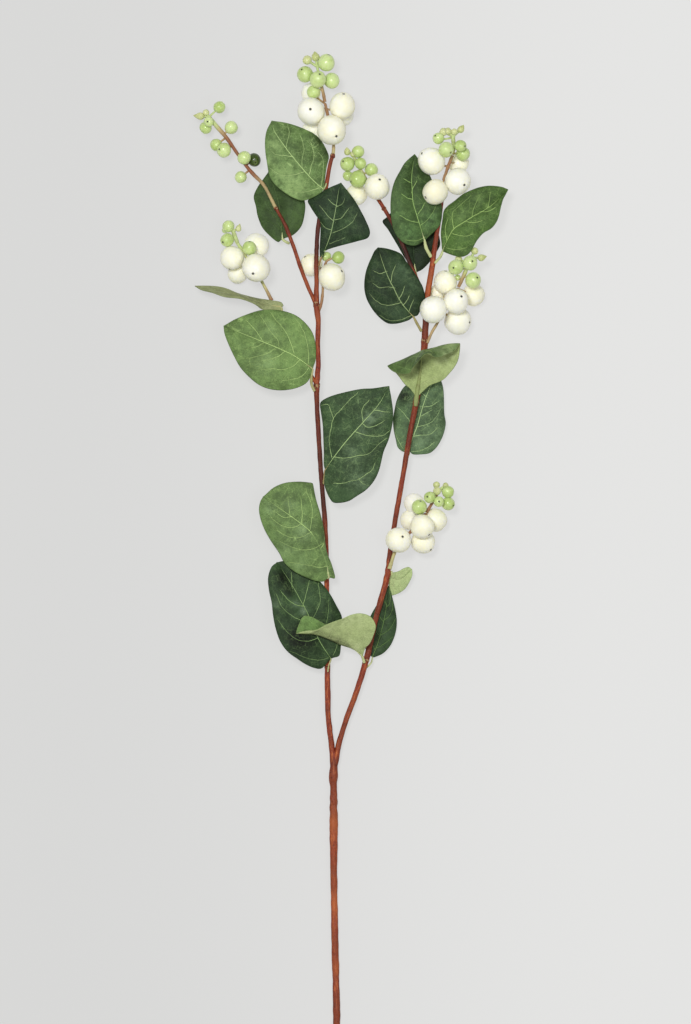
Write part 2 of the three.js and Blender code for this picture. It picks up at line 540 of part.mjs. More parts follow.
// An oval bud that points to its tip, or a round one
function bud([pixelX, pixelY, height, radius, tipX, tipY]) {
  if (tipX === undefined) return berry([pixelX, pixelY, height, radius], budFacets);
  const centre = place([pixelX, pixelY, height]);
  const toTip = place([tipX, tipY, height]).sub(centre);
  const shape = new THREE.SphereGeometry(radius, ...budFacets).scale(1, toTip.length() / radius, 1);
  const turn = new THREE.Quaternion().setFromUnitVectors(new THREE.Vector3(0, 1, 0), toTip.normalize());
  return shape.applyQuaternion(turn).translate(centre.x, centre.y, centre.z);
}

// The short stalk from the nearest point of the rachis into a berry
function pedicel(fruit, rachis) {
  const centre = place(fruit);
  const samples = smoothCurve(rachis.map(place)).getPoints(rachisSamples);
  const nearest = samples.reduce((best, p) => (p.distanceTo(centre) < best.distanceTo(centre) ? p : best));
  const stalk = centre.clone().sub(nearest);
  const length = stalk.length();
  const shape = new THREE.CylinderGeometry(pedicelRadius, pedicelRadius, length, pedicelSides);
  const turn = new THREE.Quaternion().setFromUnitVectors(new THREE.Vector3(0, 1, 0), stalk.normalize());
  return shape.translate(0, length / 2, 0).applyQuaternion(turn).translate(nearest.x, nearest.y, nearest.z);
}

function bunch(name, { brownRachis, whites, greenRachis, greens, buds }) {
  const pieces = [];
  if (brownRachis) {
    pieces.push(
      piece(name + "_white", whiteBerryLook, [
        taperedTube(brownRachis, twigSides),
        ...whites.map((fruit) => berry(fruit, whiteBerryFacets)),
        ...whites.map((fruit) => pedicel(fruit, brownRachis)),
      ]),
    );
  }
  pieces.push(
    piece(name + "_green", greenBerryLook, [
      taperedTube(greenRachis, twigSides),
      ...greens.map((fruit) => berry(fruit, greenBerryFacets)),
      ...buds.map(bud),
      ...[...greens, ...buds].map((fruit) => pedicel(fruit, greenRachis)),
    ]),
  );
  return pieces;
}

const stem = new THREE.Group();
stem.add(
  piece("woody_stem", barkLook, [
    taperedTube(mainStem, stemSides),
    taperedTube(leftBranch, stemSides),
    taperedTube(rightBranch, stemSides),
    taperedTube(leftSprayTwig, twigSides),
    taperedTube(leftBunchTwig, twigSides),
    taperedTube(middleTwig, twigSides),
  ]),
);
for (const [name, shape] of Object.entries(leaves)) stem.add(leaf(name, shape));
for (const [name, shape] of Object.entries(bunches)) stem.add(...bunch(name, shape));

// The origin is the middle of the footprint, on the surface
const box = new THREE.Box3().setFromObject(stem);
const middle = box.getCenter(new THREE.Vector3());
stem.position.set(-middle.x, -middle.y, -box.min.z);

export default stem;
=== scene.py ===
# A cut snowberry stem that lies on a pale floor and is looked at from above.
# Places are pixels of the picture plane with heights in mm, as in the part's own source.
import bpy
import numpy as np
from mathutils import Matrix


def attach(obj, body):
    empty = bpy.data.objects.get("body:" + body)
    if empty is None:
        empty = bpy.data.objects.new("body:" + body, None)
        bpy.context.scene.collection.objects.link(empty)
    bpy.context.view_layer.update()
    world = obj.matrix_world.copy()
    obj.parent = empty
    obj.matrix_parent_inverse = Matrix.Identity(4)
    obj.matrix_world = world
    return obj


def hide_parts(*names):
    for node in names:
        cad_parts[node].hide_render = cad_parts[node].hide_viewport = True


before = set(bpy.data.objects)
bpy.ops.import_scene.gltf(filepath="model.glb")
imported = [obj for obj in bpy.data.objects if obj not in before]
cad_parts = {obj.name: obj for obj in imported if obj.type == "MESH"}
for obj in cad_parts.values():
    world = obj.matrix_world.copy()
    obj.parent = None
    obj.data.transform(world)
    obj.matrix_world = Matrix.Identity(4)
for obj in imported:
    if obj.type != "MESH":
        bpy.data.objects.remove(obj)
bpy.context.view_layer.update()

mm = 0.001  # in metres
picture = {"metresPerPixel": 0.0005, "originX": 350.6453, "originY": 549.7739, "width": 691, "height": 1024}


def place(points):
    # pixels become metres from the origin, x to the right and y up; heights and radii in mm become metres,
    # and what follows them stays as it is
    table = np.array(points, float)
    table[:, 0] = (table[:, 0] - picture["originX"]) * picture["metresPerPixel"]
    table[:, 1] = (picture["originY"] - table[:, 1]) * picture["metresPerPixel"]
    table[:, 2:4] *= mm
    return table


def pixelsOf(points):
    # the way back, from metres to the pixels of the picture plane
    return points[..., :2] / picture["metresPerPixel"] * (1, -1) + (picture["originX"], picture["originY"])


def unit(vectors):
    # each vector divided by its own length, which a tiny amount keeps above 0
    return vectors / (np.linalg.norm(vectors, axis=-1, keepdims=True) + 1e-12)


def runOf(points):
    # how far along the line through the points each of them lies: the sum of the steps up to it
    return np.concatenate([[0], np.cumsum(np.linalg.norm(np.diff(points, axis=0), axis=1))])


def smoothCurve(points, fractions, perStretch=33):
    # each stretch is a cubic through its two ends, with slopes that weigh the neighbouring points by the
    # square root of their distance; the curve is then read at the given fractions of its length
    ends = np.vstack([2 * points[0] - points[1], points, 2 * points[-1] - points[-2]])
    before, start, end, after = (ends[i:len(ends) - 3 + i, None] for i in range(4))
    gapBefore, gapHere, gapAfter = (
        np.sqrt(np.linalg.norm((q - p)[..., :3], axis=-1, keepdims=True)) + 1e-6
        for p, q in ((before, start), (start, end), (end, after)))
    slopeStart = ((start - before) / gapBefore - (end - before) / (gapBefore + gapHere)
                  + (end - start) / gapHere) * gapHere
    slopeEnd = ((end - start) / gapHere - (after - start) / (gapHere + gapAfter)
                + (after - end) / gapAfter) * gapHere
    t = np.linspace(0, 1, perStretch)[None, :, None]
    cubic = (start + slopeStart * t + (3 * end - 3 * start - 2 * slopeStart - slopeEnd) * t ** 2
             + (2 * start - 2 * end + slopeStart + slopeEnd) * t ** 3)
    fine = cubic.reshape(-1, points.shape[1])
    run = runOf(fine[:, :3])
    at = np.asarray(fractions) * run[-1]
    return np.stack([np.interp(at, run, column) for column in fine.T], axis=1)


def drift(first, second, seed, waves=7, highest=3.0):
    # a smooth random surface, mostly from -1 to 1: a sum of cosines with seeded directions, lengths and
    # phases, divided by the root of their count and by 1.4
    chance = np.random.default_rng(seed)
    total = np.zeros(np.broadcast(first, second).shape)
    for _ in range(waves):
        a, b = chance.uniform(-highest, highest, 2)
        total = total + np.cos(2 * np.pi * (a * first + b * second) + chance.uniform(0, 2 * np.pi))
    return total / np.sqrt(waves) / 1.4


def skin(loops, marks, finish=0):
    # rows of closed rings joined by quads; a fan to the middle of the ring closes each end
    rows, ring = loops.shape[:2]
    at = np.arange(rows * ring).reshape(rows, ring)
    ahead = np.roll(at, -1, axis=1)
    quads = np.stack([at[:-1], ahead[:-1], ahead[1:], at[1:]], axis=-1).reshape(-1, 4)
    firstPole, lastPole = np.full(ring, rows * ring), np.full(ring, rows * ring + 1)
    fans = np.concatenate([np.stack([ahead[0], at[0], firstPole], axis=-1),
                           np.stack([at[-1], ahead[-1], lastPole], axis=-1)])
    close = lambda grid: np.concatenate([grid.reshape(-1, 3), grid[[0, -1]].mean(axis=1)])
    return {"corners": close(loops), "quads": quads, "fans": fans, "finish": finish,
            "marks": {name: close(np.broadcast_to(grid, loops.shape)) for name, grid in marks.items()}}


def makePiece(node, slot, skins, finishes):
    # the skins are put one after the other into one mesh, which stands for the node of that name
    words = node.split("_")
    name = words[0] + "".join(word.capitalize() for word in words[1:])
    corners, faces, finishOf, start = [], [], [], 0
    for part in skins:
        corners.append(part["corners"])
        faces += (part["quads"] + start).tolist() + (part["fans"] + start).tolist()
        finishOf += [part["finish"]] * (len(part["quads"]) + len(part["fans"]))
        start += len(part["corners"])
    corners = np.concatenate(corners)
    corners[:, 2] = np.maximum(corners[:, 2], 0)  # nothing goes below the floor
    mesh = bpy.data.meshes.new(name)
    mesh.from_pydata(corners, [], faces)
    mesh.polygons.foreach_set("material_index", finishOf)
    mesh.polygons.foreach_set("use_smooth", [True] * len(faces))
    for mark in sorted({mark for part in skins for mark in part["marks"]}):
        values = [part["marks"].get(mark, np.zeros_like(part["corners"])) for part in skins]
        layer = mesh.attributes.new(mark, "FLOAT_VECTOR", "POINT")
        layer.data.foreach_set("vector", np.concatenate(values).ravel())
    for finish in finishes:
        mesh.materials.append(finish)
    mesh.validate()
    piece = bpy.data.objects.new(name, mesh)
    bpy.context.scene.collection.objects.link(piece)
    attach(piece, "root")
    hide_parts(node)


def tube(path, sides, swell=None):
    # rings square to the path, each with that place's radius; swell(angle, mm along) makes it uneven
    centres, radius = path[:, :3], path[:, 3]
    along = unit(np.gradient(centres, axis=0))
    lift = np.eye(3)[np.argmin(np.abs(along).max(axis=0))]
    across = unit(np.cross(lift, along))
    upward = np.cross(along, across)
    run = runOf(centres)[:, None] / mm
    angle = np.linspace(0, 2 * np.pi, sides, endpoint=False)[None, :]
    girth = radius[:, None] * (1 + (swell(angle, run) if swell else 0 * angle * run))
    spoke = np.cos(angle)[..., None] * across[:, None] + np.sin(angle)[..., None] * upward[:, None]
    loops = centres[:, None] + girth[..., None] * spoke
    usual = radius.mean() / mm  # the stalk as a straight rod of one radius, for the grain along it
    rod = np.broadcast_arrays(np.cos(angle) * usual, np.sin(angle) * usual, run)
    # the fifth column is a stalk's redness; on the wood it carries the spots: more orange bark above 0,
    # painted shade below 0
    red = path[:, 4] if path.shape[1] > 4 else np.zeros(len(path))
    tone = np.broadcast_arrays(red[:, None, None] * [1, 0, 0], loops)[0]
    return loops, {"stalkPlace": np.stack(rod, axis=-1), "stalkTone": tone}


class Wire:
    # a socket of a shader; expressions on wires and numbers add the Math nodes
    def __init__(self, finish, socket):
        self.finish, self.socket = finish, socket

    def math(self, operation, *others):
        return self.finish.node("Math", {"operation": operation}, dict(enumerate((self, *others))))

    def __abs__(self): return self.math("ABSOLUTE")
    def __add__(self, other): return self.math("ADD", other)
    def __sub__(self, other): return self.math("SUBTRACT", other)
    def __mul__(self, other): return self.math("MULTIPLY", other)
    def __truediv__(self, other): return self.math("DIVIDE", other)
    def atLeast(self, other): return self.math("MAXIMUM", other)
    def atMost(self, other): return self.math("MINIMUM", other)
    __radd__ = __add__
    __rmul__ = __mul__

    def __rsub__(self, other):
        return self.finish.node("Math", {"operation": "SUBTRACT"}, {0: other, 1: self})

    def step(self, low, high):
        # 0 below low and 1 above high, with a soft rise between
        return self.finish.node("MapRange", {"interpolation_type": "SMOOTHSTEP"},
                                {"Value": self, "From Min": low, "From Max": high})


class Finish:
    # a material with one Principled shader
    def __init__(self, name):
        self.material = bpy.data.materials.new(name)
        self.material.use_nodes = True
        self.tree = self.material.node_tree
        self.shader = self.tree.nodes["Principled BSDF"]

    def plug(self, socket, value):
        # a wire is linked to the socket, and a value is set on it
        if isinstance(value, Wire):
            self.tree.links.new(value.socket, socket)
        else:
            socket.default_value = value

    def node(self, kind, settings={}, sockets={}, output=0):
        # a new node of that type: its settings first, then the values or wires of its sockets
        made = self.tree.nodes.new("ShaderNode" + kind)
        for key, value in settings.items():
            setattr(made, key, value)
        for key, value in sockets.items():
            self.plug(made.inputs[key], value)
        return Wire(self, made.outputs[output])

    def parts(self, attribute):
        # the three numbers of an attribute
        vector = self.node("Attribute", {"attribute_name": attribute}, output="Vector")
        return [self.node("SeparateXYZ", {}, {0: vector}, output=k) for k in range(3)]

    def blend(self, factor, first, second):
        # a Mix node has its colours at the sockets 6 and 7, and the mixed colour at its output 2
        return self.node("Mix", {"data_type": "RGBA"}, {0: factor, 6: first, 7: second}, 2)

    def noise(self, vector, scale, detail=3.0, rough=0.55):
        # soft random values, mostly from 0.3 to 0.7, whose largest spots are about 1 / scale metres wide
        return self.node("TexNoise", {}, {"Vector": vector, "Scale": scale, "Detail": detail,
                                          "Roughness": rough})

    def here(self):
        # the place in metres, in the frame that all pieces share
        return self.node("TexCoord", {}, {}, "Object")

    def close(self, tone, rough, height, depth, **uniform):
        # colour, roughness and bump go to the shader, and so do the values that are the same all over
        self.plug(self.shader.inputs["Base Color"], tone)
        self.plug(self.shader.inputs["Roughness"], rough)
        bump = self.node("Bump", {}, {"Height": height, "Distance": depth, "Strength": 1.0})
        self.plug(self.shader.inputs["Normal"], bump)
        for key, value in uniform.items():
            self.shader.inputs[key.replace("_", " ")].default_value = value
        return self.material


def colour(red, green, blue):
    # 0 to 255 as a screen shows it, into the light values that a shader takes
    shown = np.array([red, green, blue]) / 255
    light = np.where(shown <= 0.04045, shown / 12.92, ((shown + 0.055) / 1.055) ** 2.4)
    return (*light.tolist(), 1.0)


def darker(tone, share):
    # the same colour with that share of its light
    return tuple(channel * share for channel in tone)


# The wood. A stem's point is (pixel x, pixel y, height mm, radius mm), a collar (pixel x, pixel y,
# radius mm, length mm), and a spot (pixel x, pixel y, reach in pixels, share): below 0 painted shade that
# darkens the bark where leaves shade the stem, above 0 more orange bark. lump, ridge and knob are shares of
# the radius.
wood = {
    "stems": {
        "mainStem": [(337, 1048, 1.6, 1.7), (336.7, 1018, 1.75, 1.8), (336, 985, 2.1, 1.7),
            (335, 945, 2.6, 1.85), (334.3, 905, 3.1, 1.75), (333.7, 865, 3.7, 1.8), (333.7, 828, 4.2, 2.1),
            (333.6, 797, 4.6, 1.85), (333.5, 786, 4.7, 1.78), (333.2, 777, 4.8, 2.24), (333.7, 766, 5, 1.9),
            (333.9, 752, 5.1, 1.6)],
        "leftBranch": [(333.4, 766, 5, 1.6), (331.6, 745, 5.3, 1.45), (328.7, 722, 5.7, 1.4),
            (327.6, 690, 6.1, 1.45), (327.3, 650, 6.7, 1.35), (326.9, 610, 7.4, 1.35),
            (326.3, 565, 8.2, 1.3), (325.2, 526, 9, 1.25), (321.5, 480, 10, 1.2), (318.6, 435, 11.1, 1.2),
            (316.8, 400, 11.9, 1.25), (316.8, 384, 12.3, 1.5), (318.2, 366, 12.5, 1.25),
            (317.7, 341, 12.7, 1.25), (318.3, 322, 12.9, 1.3), (316.4, 304, 13, 1.5),
            (316.6, 283, 13.1, 1.2), (316.4, 256, 13.3, 1.15), (318.6, 224, 13.5, 1.1),
            (325.6, 190, 13.8, 1.05), (330.4, 163, 14, 1), (332.6, 156, 14, 1)],
        "rightBranch": [(334.6, 765, 5, 1.6), (339.2, 743, 5.4, 1.4), (346.2, 720, 5.7, 1.35),
            (356.5, 692, 6.1, 1.4), (366, 661, 6.6, 1.5), (375.4, 620, 7.6, 1.35), (387.4, 575, 9, 1.5),
            (389.8, 555, 9.4, 1.35), (395.1, 521, 10, 1.3), (403.1, 475, 10.9, 1.3),
            (410.7, 430, 11.6, 1.35), (417, 397, 12.1, 1.5), (422.5, 362, 12.4, 1.5),
            (424.6, 343, 12.6, 1.7), (425.8, 318, 12.8, 1.45), (427.1, 298, 13, 1.5),
            (431.6, 270, 13.2, 1.4), (436.1, 238, 13.4, 1.2), (440.2, 212, 13.7, 1.1),
            (443.3, 182.8, 13.7, 0.95)],
        "leftSprayTwig": [(316.2, 305, 13, 1), (312.5, 297, 12.9, 1), (302.5, 273, 12.7, 0.95),
            (293.3, 246, 12.4, 0.95), (284.6, 224, 12.2, 0.95), (276, 208.4, 12, 1.05)],
        "leftBunchTwig": [(316.6, 384, 12.3, 1), (310.5, 374.5, 12, 0.95), (297, 350, 11.2, 0.9),
            (285, 325, 10.4, 0.9), (277, 309, 10, 0.95), (272.2, 301.5, 10, 1)],
        "middleTwig": [(427, 304, 13, 1.1), (420, 287, 12.5, 1), (411, 266, 12.1, 1.1), (403.6, 247, 12, 1),
            (393, 224, 12, 0.95), (377.6, 198.2, 12.6, 1)]},
    "tapered": ("leftSprayTwig", "leftBunchTwig"),
    "collars": [(333.2, 153.4, 1.3, 2.4), (316.4, 304, 1.62, 3.4), (316.8, 385, 1.66, 3.0),
                (326.2, 571, 1.5, 2.4), (327.4, 668, 1.52, 2.2), (367, 661, 1.6, 2.4),
                (415.6, 402, 1.62, 2.6), (424.4, 341, 1.84, 3.4), (275.6, 207.8, 1.12, 1.4),
                (383.8, 208.8, 1.22, 1.5)],
    "orangeAndPaintedShadeSpots": [(317, 412, 22, -0.6), (319, 455, 26, -0.7), (322, 500, 26, -0.85), (317, 238, 22, -0.8),
               (317, 208, 14, -0.7), (316, 254, 8, -0.3), (410, 440, 26, -0.4), (424, 322, 14, -0.55),
               (404, 247, 24, -0.85), (391, 226, 12, -0.5), (285, 224, 10, -0.5), (412, 262, 12, -0.6),
               (396, 515, 16, -0.3), (378, 605, 12, -0.25), (366, 653, 8, -0.35), (332, 763, 5, -0.5),
               (388, 556, 8, -0.35), (335, 880, 90, 0.18), (334, 823, 10, 0.6), (335, 903, 12, 0.5),
               (336, 967, 8, 0.4), (431, 283, 24, 0.5), (306, 283, 12, 0.4), (318, 318, 8, 0.3),
               (353, 699, 8, 0.25)],
    "rowsPerMm": 1.5, "sides": 26, "collarRows": 9, "collarSides": 20,
    "lump": 0.055, "ridge": 0.04, "knob": 0.035,
    # dark is the colour of the bark's creases, and also of the painted shade that the spots below 0 lay on
    "bark": (128, 57, 33), "redder": (132, 51, 33), "orange": (186, 101, 52), "dark": (60, 25, 19),
    "fleck": (206, 176, 128),
}


def barkFinish():
    # reddish brown with orange and red patches, dark creases round the stem and fine grain along it; the
    # listed spots add more orange bark and painted shade where leaves shade the stem
    finish = Finish("reddishBark")
    bark, redder, orange, dark = (colour(*wood[key]) for key in ("bark", "redder", "orange", "dark"))
    spot = finish.node("Attribute", {"attribute_name": "stalkPlace"}, output="Vector")
    stretched = finish.node("Mapping", {}, {"Vector": spot, "Scale": (1, 1, 0.14)})
    squeezed = finish.node("Mapping", {}, {"Vector": spot, "Scale": (0.45, 0.45, 1.2)})
    patches = finish.noise(finish.here(), 95, 3)
    rings = finish.noise(squeezed, 0.95, 4, 0.6)
    grain = finish.noise(stretched, 0.95, 6, 0.7)
    fine = finish.noise(stretched, 3.2, 3, 0.6)
    streaks = grain * 0.5 + patches * 0.2 + fine * 0.3
    creases = 1 - (rings * 0.4 + grain * 0.3 + fine * 0.3).step(0.36, 0.48)
    tone = finish.blend(patches.step(0.42, 0.62), bark, redder)
    tone = finish.blend(streaks.step(0.5, 0.62) * 0.9, tone, orange)
    tone = finish.blend(creases * 0.85, tone, dark)
    orangeToneAndPaintedShade, *_ = finish.parts("stalkTone")
    tone = finish.blend((orangeToneAndPaintedShade * (patches + 0.4)).atLeast(0.0), tone, orange)
    # painted shade: spots below 0 darken the bark where leaves shade the stem
    tone = finish.blend((orangeToneAndPaintedShade * -1).atLeast(0.0), tone, dark)
    return finish.close(tone, 0.62 - 0.2 * grain, rings * 0.5 + streaks * 0.7, 0.6 * mm,
                        Specular_IOR_Level=0.28)


def jointFinish():
    # bark with pale flecks, where a leaf or a twig leaves the stem
    finish = Finish("fleckedJoint")
    fleck = finish.noise(finish.here(), 700, 3, 0.6)
    grain = finish.noise(finish.here(), 1500, 2)
    tone = finish.blend(grain.step(0.35, 0.65), colour(*wood["dark"]), colour(*wood["bark"]))
    tone = finish.blend(fleck.step(0.5, 0.62) * 0.55, tone, colour(*wood["fleck"]))
    return finish.close(tone, 0.75, grain * 0.4 + fleck, 0.4 * mm, Specular_IOR_Level=0.3)


def woodSkins():
    # every stem is a ring of points carried along its curve; the girth swells in lumps and wrapped ridges
    skins, paths = [], []
    for order, (name, points) in enumerate(wood["stems"].items()):
        points = place(points)
        length = runOf(points[:, :3])[-1] / mm
        path = smoothCurve(points, np.linspace(0, 1, int(length * wood["rowsPerMm"])))
        if name in wood["tapered"]:  # the last quarter thins to 0.7 of its radius
            path[:, 3] *= np.interp(np.linspace(0, 1, len(path)), [0, 0.75, 1], [1, 1, 0.7])
        paths.append(path)
        # spots of more orange bark and of painted shade, summed along the path
        orangeToneAndPaintedShade = sum(share * np.exp(-((pixelsOf(path) - (x, y)) ** 2).sum(axis=1) / reach ** 2)
                    for x, y, reach, share in wood["orangeAndPaintedShadeSpots"])

        def swell(angle, run, seed=order):
            # slow lumps, ridges that wind round the stem and come and go, and small knobs
            lumps = wood["lump"] * drift(angle * 0 + run / 34, 0 * run, seed + 20, 6, 4)
            winding = 5 * drift(run / 60, 0 * run, seed + 40, 5, 3)
            ridges = wood["ridge"] * np.cos(run * 0.8 + angle + winding)
            knobs = wood["knob"] * np.cos(3 * angle + run * 0.31 + seed) * np.cos(run * 0.73 + 2 * seed)
            return lumps + ridges * drift(run / 50, 0 * run, seed + 70, 5, 2) * 1.6 + knobs

        skins.append(skin(*tube(np.hstack([path, orangeToneAndPaintedShade[:, None]]), wood["sides"], swell)))

    # a collar is a short tube along the stem at its nearest point, a little thinner at both ends
    every = np.concatenate(paths)
    for x, y, radius, length in wood["collars"]:
        nearest = np.argmin(np.linalg.norm(every[:, :2] - place([(x, y)])[0], axis=1))
        nearest = min(max(nearest, 1), len(every) - 2)
        along = unit(every[nearest + 1, :3] - every[nearest - 1, :3])
        reach = np.linspace(-1, 1, wood["collarRows"])[:, None]
        rim = radius * mm * (1 - 0.3 * reach ** 4)
        path = np.hstack([every[nearest, :3] + along * reach * length * mm / 2, rim])
        skins.append(skin(*tube(path, wood["collarSides"],
                                lambda a, r: 0.05 * np.cos(2 * a + r) + 0.03 * np.cos(5 * a)), 1))
    return skins


makePiece("woody_stem", "bark", woodSkins(), [barkFinish(), jointFinish()])
print("the wood is made")

# The leaves. Each outline runs from the petiole to the tip: (pixel x, pixel y, height mm).
# left, midrib and right: the blade, veins: its side veins, each as a line of pixels, nine at the most.
# top and second: the two tones of its upper side, where the second, laid on by the patches, is partly
# painted sheen and light,
# under: its underside, vein: the tone of its veins,
# veinShow and net: how much its veins and the finest ones show, ribFrom: where along it the midrib shows.
# arch: how far each half bulges in mm, ruffle: the wave of the margin in mm, pillow: how far it swells
# between the veins in mm, turned: its underside is up, leftPace: above 1 the left margin starts slowly.
# patches: (pixel x, pixel y, radius in pixels, share): above 0 a share of the second tone, the leaf's own
# paler tint in some places and painted sheen and light in others; below 0 a share of painted shade, for
# hollows, folds and curled margins.
# stalk: the petiole's thickness against the usual one, red: how reddish it is, rib: how far it runs on
# along the midrib, stalkTones: its tones from pale over tan to brown.
usualLeaf = {"rows": 110, "halfColumns": 27, "thickness": 0.5, "halfFoot": 0.8, "halfTip": 0.12,
             "pillow": 0.34, "uneven": 0.5, "veinPoints": 16, "veinWidth": 1.6, "leftPace": 1.0,
             "turned": False, "under": (140, 165, 105), "backVein": (204, 212, 156), "veinShow": 0.95,
             "net": 1.0, "ribFrom": 0.0, "patches": [], "petioleRows": 40, "petioleSides": 14,
             "petioleRadius": 0.72, "stalk": 1.0, "red": 0.0, "rib": 0.15,
             "stalkTones": [(190, 198, 142), (162, 152, 100), (138, 88, 54)]}
mostVeins = 9
